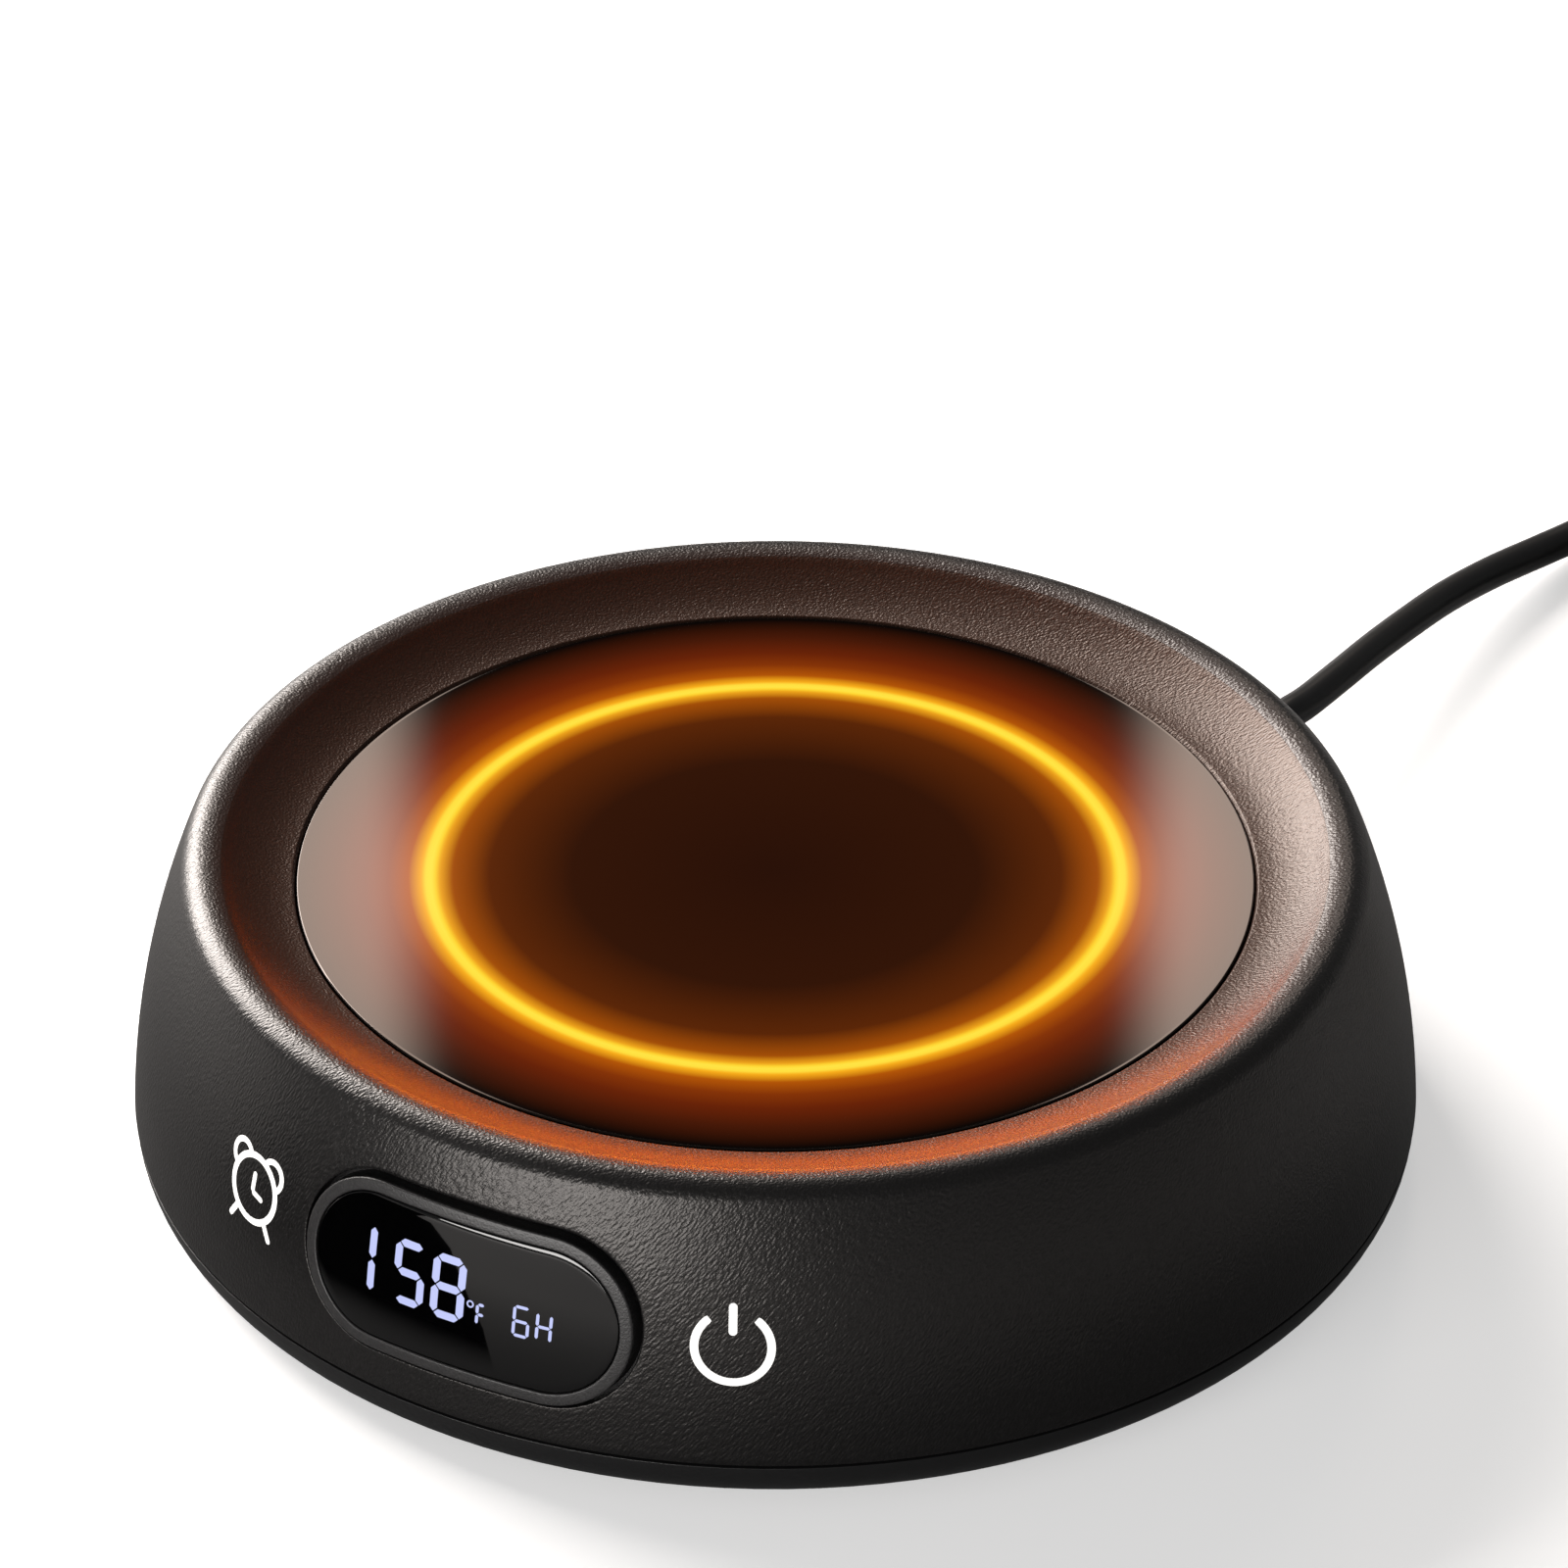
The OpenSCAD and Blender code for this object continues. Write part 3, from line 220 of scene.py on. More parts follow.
def windowLoop(grow, shift=(0, 0)):
    # a stadium that stands this far outside the lens's edge
    length, height = face["lensLength"] + 2 * grow, face["lensHeight"] + 2 * grow
    half, r, lines, arcs = (length - height) / 2, height / 2, face["lineSteps"], face["arcSteps"]
    loop = []
    for side in (1, -1):
        turn = -0.5 if side > 0 else 0.5
        loop += [(side * half + r * cos(pi * (i / arcs + turn)), r * sin(pi * (i / arcs + turn))) for i in range(arcs)]
        loop += [(side * (half - 2 * half * i / lines), side * r) for i in range(lines)]
    return [(x + face["shift"][0] + shift[0], y + face["shift"][1] + shift[1]) for x, y in loop]


# Supply cord: straight out of the relief, down to the table, into a wound coil, and out of it to the plug
cord = {"diameter": 4.0, "exitAngle": 12.5, "exitRadius": 70.305, "exitHeight": 9.6, "reliefTip": 88.305,
        "straight": 3.0, "coilCentre": (65.0, 161.5), "enter": 162.4, "outer": 32.0, "inner": 16.0, "topOuter": 28.0,
        "tuck": 0.7, "lowTurns": 4, "topTurns": 3, "lowHeight": 2.0, "topHeight": 6.0, "stepsPerTurn": 40, "stops": 6,
        "tailStops": 4}
cordRoute = [(20.3, 93, 9.2), (20.8, 100.5, 8.6), (21.1, 109, 7.7), (21.6, 118, 6.6), (22.5, 127.5, 5.5),
             (24.2, 137, 4.3), (26.6, 146, 3.2), (28.5, 152, 2.7), (31.4, 161.5, 2.1), (34.5, 171.2, 2)]
tailRoute = [(93, 161.5, 6), (93, 156, 6.1), (93, 149, 6.7), (93, 142, 7.7), (93, 136, 8.5), (93, 133, 8.5)]
exitDirection = Vector((sin(radians(cord["exitAngle"])), cos(radians(cord["exitAngle"])), 0))


def smoothPath(stops, steps):
    # Catmull-Rom curve through the stops
    stops = [Vector(s) for s in stops]
    padded = [2 * stops[0] - stops[1]] + stops + [2 * stops[-1] - stops[-2]]
    path = [stops[0]]
    for i in range(1, len(padded) - 2):
        a, b, c, d = padded[i - 1:i + 3]
        for k in range(1, steps + 1):
            t = k / steps
            path.append(0.5 * (2 * b + (c - a) * t + (2 * a - 5 * b + 4 * c - d) * t ** 2
                               + (3 * b - a - 3 * c + d) * t ** 3))
    return path


def coilPath():
    # the low turns wind inwards, then the cord climbs, and the top turns wind outwards
    centre = Vector((*cord["coilCentre"], 0))
    low, top, inner = cord["lowHeight"], cord["topHeight"], cord["inner"]
    stretches = [(cord["lowTurns"], cord["outer"], inner, low, low), (cord["enter"] / 360, inner, inner, low, top),
                 (cord["topTurns"], inner, cord["topOuter"], top, top)]
    angle, path = cord["enter"], []
    for turns, r0, r1, z0, z1 in stretches:
        steps = ceil(turns * cord["stepsPerTurn"])
        for k in range(steps):
            t = k / steps
            a = radians(angle - 360 * turns * t)
            r = r0 + (r1 - r0) * t - (cord["tuck"] * sin(pi * t) if z1 > z0 else 0)
            path.append(centre + Vector((r * cos(a), r * sin(a), z0 + (z1 - z0) * t * t * (3 - 2 * t))))
        angle -= 360 * turns
    return path


exitPoint = exitDirection * cord["exitRadius"] + Vector((0, 0, cord["exitHeight"]))
reliefTip = exitDirection * cord["reliefTip"] + Vector((0, 0, cord["exitHeight"]))
leadStops = [exitPoint, (exitPoint + reliefTip) / 2, reliefTip, reliefTip + cord["straight"] * exitDirection]
cordPath = smoothPath(leadStops + cordRoute, cord["stops"])[:-1] + coilPath() + smoothPath(tailRoute, cord["tailStops"])
cordLength = sum((b - a).length for a, b in zip(cordPath, cordPath[1:]))

cordCurve = bpy.data.curves.new("cordLine", "CURVE")
cordCurve.dimensions = "3D"
cordCurve.bevel_depth = cord["diameter"] / 2 * mm
cordCurve.bevel_resolution = 5
cordCurve.use_fill_caps = True
spline = cordCurve.splines.new("POLY")
spline.points.add(len(cordPath) - 1)
for point, place in zip(spline.points, cordPath):
    point.co = (*(place * mm), 1)
spline.use_smooth = True
powerCord = bakedCopy(addObject("cordLine", cordCurve), "powerCordRun")
tidyMesh(powerCord.data, 60, 0.002)
dress(powerCord, "housing", "cord", "power_cord", "cord_coil", "cord_tail")
print("cord: %.3f m, %d points" % (cordLength * mm, len(cordPath)))


# Node helpers: inputs go by name or number; a socket among them is linked, and so is a node's first output
def feed(tree, node, inputs):
    for label, value in inputs.items():
        if isinstance(value, bpy.types.Node):
            value = value.outputs[0]
        if isinstance(value, bpy.types.NodeSocket):
            tree.links.new(value, node.inputs[label])
        else:
            node.inputs[label].default_value = value


def addNode(tree, kind, inputs=None, **settings):
    node = tree.nodes.new(kind)
    for key, value in settings.items():
        setattr(node, key, value)
    feed(tree, node, inputs or {})
    return node


def mathNode(tree, operation, *values, clamp=False):
    return addNode(tree, "ShaderNodeMath", dict(enumerate(values)), operation=operation, use_clamp=clamp).outputs[0]


def easeNode(tree, value, fromMin, fromMax, toMin, toMax):
    inputs = {"Value": value, "From Min": fromMin, "From Max": fromMax, "To Min": toMin, "To Max": toMax}
    return addNode(tree, "ShaderNodeMapRange", inputs, interpolation_type="SMOOTHSTEP").outputs["Result"]


def mixNode(tree, factor, a, b, blend="MIX"):
    mix = addNode(tree, "ShaderNodeMix", {"Factor": factor, "A": a, "B": b}, data_type="RGBA", blend_type=blend)
    return mix.outputs["Result"]


def objectCoords(tree):
    found = [n for n in tree.nodes if n.type == "TEX_COORD"]
    return (found[0] if found else addNode(tree, "ShaderNodeTexCoord")).outputs["Object"]


def axisDistance(tree):
    flat = addNode(tree, "ShaderNodeVectorMath", {0: objectCoords(tree), 1: (1, 1, 0)}, operation="MULTIPLY")
    return addNode(tree, "ShaderNodeVectorMath", {0: flat}, operation="LENGTH").outputs["Value"]


def newTree(name, kind, inputs, output):
    # inputs are label: (socket kind, value); gives the tree, what it is given, its end and the inputs' identifiers
    tree = bpy.data.node_groups.new(name, kind + "NodeTree")
    ids = {}
    for label, (socketKind, value) in inputs.items():
        socket = tree.interface.new_socket(label, in_out="INPUT", socket_type="NodeSocket" + socketKind)
        if value is not None:
            socket.default_value = value
        ids[label] = socket.identifier
    for label, socketKind in output.items():
        tree.interface.new_socket(label, in_out="OUTPUT", socket_type="NodeSocket" + socketKind)
    return tree, addNode(tree, "NodeGroupInput").outputs, addNode(tree, "NodeGroupOutput"), ids


# Finishes: shared effects are node groups, and each material sets its own values
def buildGrain():
    # moulded leather-like grain: short streaks over a fine pebble, and a mask of painted shade for its pits
    lay = {"turn": (4, -52, 28), "stretch": 0.34, "smooth": 0.6, "pitSlope": -2.2, "pitLevel": 1.5}
    group, given, out, _ = newTree("mouldedGrain", "Shader", {
        "Vector": ("Vector", None), "Streak Size": ("Float", 3000.0), "Streak Share": ("Float", 0.7),
        "Pebble Size": ("Float", 3600.0)}, {"Height": "Float", "PitShade": "Float"})
    angles = [radians(a) for a in lay["turn"]]
    turn = addNode(group, "ShaderNodeMapping", {"Vector": given["Vector"], "Rotation": angles}, vector_type="TEXTURE")
    wide = (lay["stretch"], 1, 1)
    stretch = addNode(group, "ShaderNodeMapping", {"Vector": turn, "Scale": wide}, vector_type="POINT")
    streak = addNode(group, "ShaderNodeTexNoise", {
        "Vector": stretch, "Scale": given["Streak Size"], "Detail": 0.5, "Roughness": 0.4})
    pebble = addNode(group, "ShaderNodeTexVoronoi", feature="SMOOTH_F1")
    feed(group, pebble, {"Vector": given["Vector"], "Scale": given["Pebble Size"], "Smoothness": lay["smooth"]})
    streakPart = mathNode(group, "MULTIPLY", streak, given["Streak Share"])
    rest = mathNode(group, "SUBTRACT", 1.0, given["Streak Share"])
    height = mathNode(group, "MULTIPLY_ADD", pebble.outputs["Distance"], rest, streakPart)
    # the grain's low places get a darker colour: painted shade in the pits
    pitShade = mathNode(group, "MULTIPLY_ADD", height, lay["pitSlope"], lay["pitLevel"], clamp=True)
    feed(group, out, {"Height": height, "PitShade": pitShade})
    return group


def buildPatina():
    # slow, faint changes of sheen over a surface
    group, given, out, _ = newTree("sheenDrift", "Shader", {
        "Vector": ("Vector", None), "Roughness": ("Float", 0.5), "Spread": ("Float", 0.06), "Size": ("Float", 60.0)},
        {"Roughness": "Float", "Drift": "Float"})
    cloud = addNode(group, "ShaderNodeTexNoise", {"Vector": given["Vector"], "Scale": given["Size"], "Detail": 4.0})
    centred = mathNode(group, "SUBTRACT", cloud, 0.5)
    rough = mathNode(group, "MULTIPLY_ADD", centred, given["Spread"], given["Roughness"], clamp=True)
    feed(group, out, {"Roughness": rough, "Drift": cloud})
    return group


grainGroup = buildGrain()
patinaGroup = buildPatina()


def newMaterial(name):
    material = bpy.data.materials.new(name)
    material.use_nodes = True
    return material, material.node_tree, material.node_tree.nodes["Principled BSDF"]


def reliefNode(tree, height, depth):
    return addNode(tree, "ShaderNodeBump", {"Strength": 1.0, "Distance": depth * mm, "Height": height})


def plainMaterial(name, color, rough, spread=0.06, driftSize=60.0, bump=0.0, bumpSize=1500.0, metallic=0.0, own=None):
    # drifting roughness and, where bump is given, a fine pebble; own holds more of the shader's inputs
    material, tree, shader = newMaterial(name)
    drift = addNode(tree, "ShaderNodeGroup", node_tree=patinaGroup)
    feed(tree, drift, {"Roughness": rough, "Spread": spread, "Size": driftSize, "Vector": objectCoords(tree)})
    feed(tree, shader, {"Base Color": (*color, 1), "Metallic": metallic, "Roughness": drift, **(own or {})})
    if bump:
        noise = addNode(tree, "ShaderNodeTexNoise", {"Vector": objectCoords(tree), "Scale": bumpSize, "Detail": 2.0})
        feed(tree, shader, {"Normal": reliefNode(tree, noise, bump)})
    return material


def grainedMaterial(name, color, pitShadeColor, rough, depth, streakSize, streakShare, own):
    material = plainMaterial(name, color, rough, own=own)
    tree = material.node_tree
    grain = addNode(tree, "ShaderNodeGroup", node_tree=grainGroup)
    feed(tree, grain, {"Vector": objectCoords(tree), "Streak Size": streakSize, "Streak Share": streakShare,
                       "Pebble Size": 4600.0})
    # the base colour goes over to the darker copy in the grain's pits, as painted shade
    feed(tree, tree.nodes["Principled BSDF"], {
        "Normal": reliefNode(tree, grain, depth),
        "Base Color": mixNode(tree, grain.outputs["PitShade"], (*color, 1), (*pitShadeColor, 1))})
    return material


def warmCrest(material, color, inner, outer):
    # the shell takes on the dish's colour towards the seam
    tree = material.node_tree
    base = tree.nodes["Principled BSDF"].inputs["Base Color"]
    near = easeNode(tree, axisDistance(tree), inner * mm, outer * mm, 1.0, 0.0)
    tree.links.new(mixNode(tree, near, base.links[0].from_socket, (*color, 1)), base)


shellPlastic = grainedMaterial("grainedCharcoal", (0.0065, 0.0063, 0.0065), (0.003, 0.0029, 0.003), 0.34, 0.085,
                               4100.0, 0.8, {"Specular IOR Level": 0.47, "Specular Tint": (1.0, 0.96, 0.93, 1)})
bezelPlastic = grainedMaterial("grainedBezel", (0.024, 0.0235, 0.024), (0.012, 0.0117, 0.012), 0.40, 0.03, 4300.0, 0.3,
                               {"Specular IOR Level": 0.5})
dishPlastic = grainedMaterial("satinDish", (0.032, 0.012, 0.0065), (0.015, 0.0055, 0.003), 0.36, 0.085, 4100.0, 0.75,
                              {"Specular IOR Level": 0.29, "Specular Tint": (1.0, 0.76, 0.62, 1)})
warmCrest(shellPlastic, (0.020, 0.008, 0.005), wall["seam"], 62.6)
basePlastic = plainMaterial("smoothBase", (0.008, 0.008, 0.0083), 0.34, bump=0.002)
lensGloss = plainMaterial("smokedLens", (0.0006, 0.0006, 0.0007), 0.035, 0.02, 40.0, own={"Specular IOR Level": 0.68})
footRubber = plainMaterial("footRubber", (0.018, 0.018, 0.018), 0.72, bump=0.01, bumpSize=2500.0)
platedSteel = plainMaterial("platedSteel", (0.60, 0.60, 0.62), 0.32, 0.15, 400.0, metallic=1.0)
cordVinyl = plainMaterial("cordVinyl", (0.004, 0.004, 0.0042), 0.38, 0.08, 120.0, bump=0.004, bumpSize=1800.0)
fittingVinyl = plainMaterial("mouldedVinyl", (0.012, 0.012, 0.0125), 0.46, 0.08, bump=0.006, bumpSize=2200.0)
bladeBrass = plainMaterial("plainBrass", (0.66, 0.52, 0.27), 0.28, 0.16, 300.0, metallic=1.0)


def litMaterial(name, color, strength, share):
    # lit from within, over a plain colour that is this share of the light's
    return plainMaterial(name, [c * share for c in color], 0.4, bump=0.002,
                         own={"Emission Color": (*color, 1), "Emission Strength": strength})


digitGlow = litMaterial("litDigits", (0.51, 0.56, 0.91), 1.0, 0.04)
# the printed marks get a painted glow: emission that brightens the print, which is no lamp
printWhitePaintedGlow = litMaterial("printedWhitePaintedGlow", (0.86, 0.86, 0.84), 0.45, 0.95)

# Painted glow: the glass gets a ring of emission whose colours go by distance from the middle, in metres, though the
# plate is no lamp.
# Rays other than the camera's see it far stronger, so the light it casts on the dish is stronger than what is seen.
glow = {"reach": 0.0525, "cast": 18.0, "castTint": (1.0, 0.60, 0.30, 1), "stops": [
    (0.0, (0.020, 0.004, 0.001)), (0.022, (0.030, 0.006, 0.001)), (0.031, (0.10, 0.018, 0.001)),
    (0.0350, (0.36, 0.075, 0.001)), (0.0364, (0.85, 0.36, 0.01)), (0.0369, (1.0, 0.66, 0.03)),
    (0.0373, (1.0, 0.78, 0.06)), (0.0379, (1.0, 0.74, 0.05)), (0.0384, (0.95, 0.42, 0.01)),
    (0.0398, (0.44, 0.088, 0.001)), (0.0420, (0.23, 0.032, 0.001)), (0.0445, (0.135, 0.015, 0.001)),
    (0.0478, (0.06, 0.008, 0.001)), (0.0508, (0.012, 0.002, 0.0)), (0.0516, (0.0, 0.0, 0.0))]}


def buildPlateGlassPaintedGlow():
    # black glass with a painted glow: a ring of emission on the glass, though the plate is no lamp
    material = plainMaterial("blackGlassPaintedGlow", (0.002, 0.0015, 0.0013), 0.06, 0.02, 30.0,
                             own={"IOR": 1.5, "Specular Tint": (1.0, 0.80, 0.70, 1)})
    tree = material.node_tree
    seen = addNode(tree, "ShaderNodeLightPath").outputs["Is Camera Ray"]
    share = mathNode(tree, "DIVIDE", axisDistance(tree), glow["reach"], clamp=True)
    ramp = addNode(tree, "ShaderNodeValToRGB", {0: share})
    elements = ramp.color_ramp.elements
    while len(elements) < len(glow["stops"]):
        elements.new(0.5)
    for element, (radius, _) in zip(elements, glow["stops"]):
        element.position = radius / glow["reach"]
    for element, (_, color) in zip(elements, glow["stops"]):
        element.color = (*color, 1)
    # for rays other than the camera's the painted glow is tinted and many times stronger, so it lights the dish as a
    # lamp would
    tinted = mixNode(tree, mathNode(tree, "SUBTRACT", 1.0, seen), ramp, glow["castTint"], "MULTIPLY")
    strength = mathNode(tree, "MULTIPLY_ADD", seen, 1.0 - glow["cast"], glow["cast"])
    feed(tree, tree.nodes["Principled BSDF"], {"Emission Strength": strength, "Emission Color": tinted})
    return material


plateGlassPaintedGlow = buildPlateGlassPaintedGlow()
print("outer finishes made")


# Upper shell: one turned wall, with the window's opening woven into its grid
shell = {"columns": 288, "patchColumns": 17, "patchRows": 18, "patchLow": 8.2, "patchHigh": 32.4, "patchLines": 14,
         "patchSides": 10, "weave": 6, "weavePower": 0.8, "opening": 1.98, "openingShift": (0.34, 0.42),
         "openingRound": (0.2, 0.6), "roundSteps": (0, 18, 36, 54, 72, 90), "edgeRound": 0.3, "ledgeRadius": 58.4,
         "ledgeLow": 32.9, "ledgeTop": 34.4, "dishSide": 111.2}
notch = {"half": 3.5, "foot": 5.0, "top": 9.6, "steps": 24, "reach": (62.0, 74.0)}
boss = {"angles": (30, 150, 210, 330), "circle": 60.5, "foot": 6.3, "length": 26.5, "outer": 4.0, "inner": 1.55,
        "bore": 13, "ribLevels": (9.45, 15, 20, 25, 29, 32.8), "ribNear": 62.0, "ribHalf": 0.8}
panelPost = {"across": 24.6, "up": -6.5, "root": 12.0, "length": 6.9, "outer": 2.2, "inner": 0.95, "bore": 3.9}


def arcLine(x, y, r, first, last, steps):
    angles = [radians(first + (last - first) * i / steps) for i in range(steps + 1)]
    return [(x + r * cos(a), y + r * sin(a)) for a in angles]


def shellOutline(heights):
    # the wall's section, and where the grid's rows lie in it outside and inside
    edge, low, crest, top = shell["edgeRound"], wall["parting"], wall["crest"], wall["height"]
    ledgeR, ledgeLow, ledgeTop = shell["ledgeRadius"], shell["ledgeLow"], shell["ledgeTop"]
    shoulderAngle = degrees(atan2(top - wall["shoulder"] - wall["arcZ"], crest - wall["arcX"]))
    shoulderFoot = wall["arcZ"] + wall["arcRadius"] * sin(radians(shoulderAngle))
    outline = [(wallRadius(low) - edge, low), (wallRadius(low) - 0.3 * edge, low + 0.09),
               (wallRadius(low + edge), low + edge), (wallRadius(low + 1), low + 1)]
    outer = range(len(outline), len(outline) + len(heights))
    outline += [(wallRadius(z), z) for z in heights + [33.4, 34.4, shoulderFoot - 0.12]]
    outline += arcLine(crest, top - wall["shoulder"], wall["shoulder"], shoulderAngle, 90, 10)
    outline += arcLine(crest, top - wall["crestRound"], wall["crestRound"], 90, shell["dishSide"], 6)[1:]
    outline += [(wall["seam"], wall["seamTop"]), (wall["seam"], ledgeTop), (ledgeR, ledgeTop), (ledgeR, ledgeLow),
                (wallRadius(ledgeLow, wall["thickness"]), ledgeLow)]
    inner = range(len(outline), len(outline) + len(heights))
    outline += [(wallRadius(z, wall["thickness"]), z) for z in heights[::-1] + [low]]
    return outline, outer, inner


def buildShell():
    points, faces, index = [], [], {}
    columns, half, rows = shell["columns"], shell["patchColumns"], shell["patchRows"]
    step, around = 2 * pi / columns, range(-columns // 2, columns // 2)
    rise = shell["patchHigh"] - shell["patchLow"]
    outline, outer, inner = shellOutline([shell["patchLow"] + rise * i / rows for i in range(rows + 1)])
    for ring, (r, z) in enumerate(outline):
        opened = ring in outer[1:-1] or ring in inner[1:-1]
        for column in around:
            if not (opened and abs(column) < half):
                index[ring, column] = len(points)
                points.append(fromFront(step * column, r, z))
    for ring in range(len(outline)):
        above = (ring + 1) % len(outline)
        opened = any(ring in grid and above in grid for grid in (outer, inner))
        for column in around:
            beside = column + 1 if column + 1 < columns // 2 else -columns // 2
            if not (opened and -half <= column < half):
                faces.append((index[ring, column], index[ring, beside], index[above, beside], index[above, column]))

    def border(rings):
        # the patch's edge in the grid, once round from the middle of its foot
        side, line = shell["patchSides"], shell["patchLines"]
        path = [(line // 2 + i, 0) for i in range(side)] + [(half, i) for i in range(rows)]
        path += [(half - i, rows) for i in range(side)] + [(line // 2 - i, rows) for i in range(line)]
        path += [(-line // 2 - i, rows) for i in range(side)] + [(-half, rows - i) for i in range(rows)]
        path += [(-half + i, 0) for i in range(side)] + [(-line // 2 + i, 0) for i in range(line)]
        return [index[rings[row], column] for column, row in path]

    def weave(rim, opening, deep):
        # loops between the grid's border and the opening, all on the wall's own curve
        loops = []
        for k in range(1, shell["weave"]):
            t = (k / shell["weave"]) ** shell["weavePower"]
            places = []
            for a, b in zip(rim, opening):
                azimuth = atan2(points[a][0], -points[a][1]) * (1 - t) + atan2(b[0], -b[1]) * t
                z = points[a][2] * (1 - t) + b[2] * t
                places.append(fromFront(azimuth, wallRadius(z, deep), z))
            loops.append(addLoop(points, places))
        return loops

    def mouthLoop(turn):
        # the rim's round is small below and at the left, and wide above and at the right
        (small, wide), shift = shell["openingRound"], shell["openingShift"]
        places = []
        for (x, y), (farX, farY) in zip(windowLoop(shell["opening"], shift), windowLoop(shell["opening"] + 1, shift)):
            r = small + (wide - small) * max(0.0, 0.55 * (farX - x) + 0.83 * (farY - y))
            reach, deep = r * (1 - sin(radians(turn))), r * (1 - cos(radians(turn)))
            places.append(facePoint(x + (farX - x) * reach, y + (farY - y) * reach, deep))
        return places

    outerRim, innerRim, thickness = border(outer), border(inner[::-1]), wall["thickness"]
    mouth = mouthLoop(0)
    back = [facePoint(*p, thickness) for p in windowLoop(shell["opening"], shell["openingShift"])]
    chain = [outerRim] + weave(outerRim, mouth, 0) + [addLoop(points, mouth)]
    chain += [addLoop(points, mouthLoop(turn)) for turn in shell["roundSteps"][1:]] + [addLoop(points, back)]
    chain += weave(innerRim, back, thickness)[::-1] + [innerRim]
    for first, second in zip(chain, chain[1:]):
        bridgeLoops(faces, first, second)
    return meshPiece("upperShellWall", points, faces, shellPlastic, crease=38)


def notchCutter():
    # the slot at the rear that the strain relief's neck sits in
    half, foot = notch["half"], notch["foot"]
    outline = [(half, foot)] + arcLine(0, notch["top"], half, 0, 180, notch["steps"]) + [(-half, foot)]
    points, faces = [], []
    side = Vector((exitDirection.y, -exitDirection.x, 0))
    loft(points, faces, [[tuple(exitDirection * reach + side * x + Vector((0, 0, z))) for x, z in outline]
                         for reach in notch["reach"]])
    return meshPiece("notchCutter", points, faces, None)


def tubeShell(points, faces, place, length, outer, inner, bore, steps=32):
    # a closed round post from z 0 to length, with a blind bore from z 0; place turns local points into the part's frame
    turns = [2 * pi * k / steps for k in range(steps)]
    loft(points, faces, [[place(r * cos(a), r * sin(a), z) for a in turns]
                         for r, z in ((inner, bore), (inner, 0), (outer, 0), (outer, length))])


def shellPosts():
    # screw bosses with their ribs, and the posts behind the window
    points, faces = [], []
    for angle in boss["angles"]:
        tubeShell(points, faces, lambda x, y, z: turned(angle, boss["circle"] + x, y, boss["foot"] + z),
                  boss["length"], boss["outer"], boss["inner"], boss["bore"])
        near, half, sections = boss["ribNear"], boss["ribHalf"], []
        for z in boss["ribLevels"]:
            far = wallRadius(z, wall["thickness"] / 2)
            corners = ((near, -half), (far, -half), (far, half), (near, half))
            sections.append([turned(angle, x, y, z) for x, y in corners])
        loft(points, faces, sections)
    for across in (-panelPost["across"], panelPost["across"]):
        def place(x, y, z):
            up = panelPost["up"] + y
            if z > panelPost["length"] - 1:
                return facePoint(across + x, up, wall["thickness"] / 2)
            return slopePoint(across + x, up, z - panelPost["root"])
        tubeShell(points, faces, place, panelPost["length"], panelPost["outer"], panelPost["inner"], panelPost["bore"])
    return meshPiece("shellPosts", points, faces, shellPlastic)


shellWall = cutAway(buildShell(), notchCutter(), "upperShell", 38)
upperShell = joinPieces("upperShell", [shellWall, shellPosts()])
dress(upperShell, "housing", "shell", "upper_shell")
print("upper shell:", len(upperShell.data.polygons), "faces")


# Display: grained frame and smoked window, both lofted on the wall's own curve; sections are (outside the lens, deep)
bezel = {"width": 1.5, "flange": 3.5, "lip": -1.2, "back": 3.4}
lens = {"edgeRound": 0.16, "recess": 0.12, "thickness": 1.9, "digitLift": 0.02}


def lofted(name, outline, material, around):
    points, faces = [], []
    sections = [[facePoint(*p, deep) for p in windowLoop(grow)] for grow, deep in outline]
    loft(points, faces, sections, caps=False, around=around)
    return meshPiece(name, points, faces, material, 35)


def buildBezel():
    # a flat band with a small round at each edge, and a flange behind the wall
    w, flange, back = bezel["width"], bezel["flange"], bezel["back"]
    outline = [(0.1, 0.6), (0.1, 0.2), (0.12, 0.12), (0.17, 0.05), (0.25, 0.01), (0.33, 0.0), (0.6, 0.0), (0.9, 0.0),
               (w - 0.2, 0.0), (w - 0.12, 0.015), (w - 0.05, 0.06), (w - 0.01, 0.13), (w, 0.2), (w, 1.2), (w, 2.25),
               (flange - 0.1, 2.25), (flange, 2.35), (flange, back - 0.1), (flange - 0.1, back),
               (bezel["lip"], back), (bezel["lip"], 1.95), (0.1, 1.95)]
    return lofted("displayBezel", outline, bezelPlastic, True)


def buildLens():
    r, half, thickness = lens["edgeRound"], face["lensHeight"] / 2, lens["thickness"]
    outline = [(grow, 0) for grow in (-half, -7.4, -6.4, -5.2, -4, -2.8, -1.7, -0.9)]
    outline += [(-r * (1 - sin(radians(a))), r * (1 - cos(radians(a)))) for a in shell["roundSteps"]]
    outline = [(grow, deep + lens["recess"]) for grow, deep in outline]
    return lofted("displayLens", outline + [(0, thickness), (-4, thickness), (-half, thickness)], lensGloss, False)


dress(buildBezel(), "housing", "shell", "display_bezel")
dress(buildLens(), "housing", "lens", "display_lens")
print("display frame and window made")


# Marks: thin strips laid on the curved surface, each with its own thickness
markDepth = 0.06


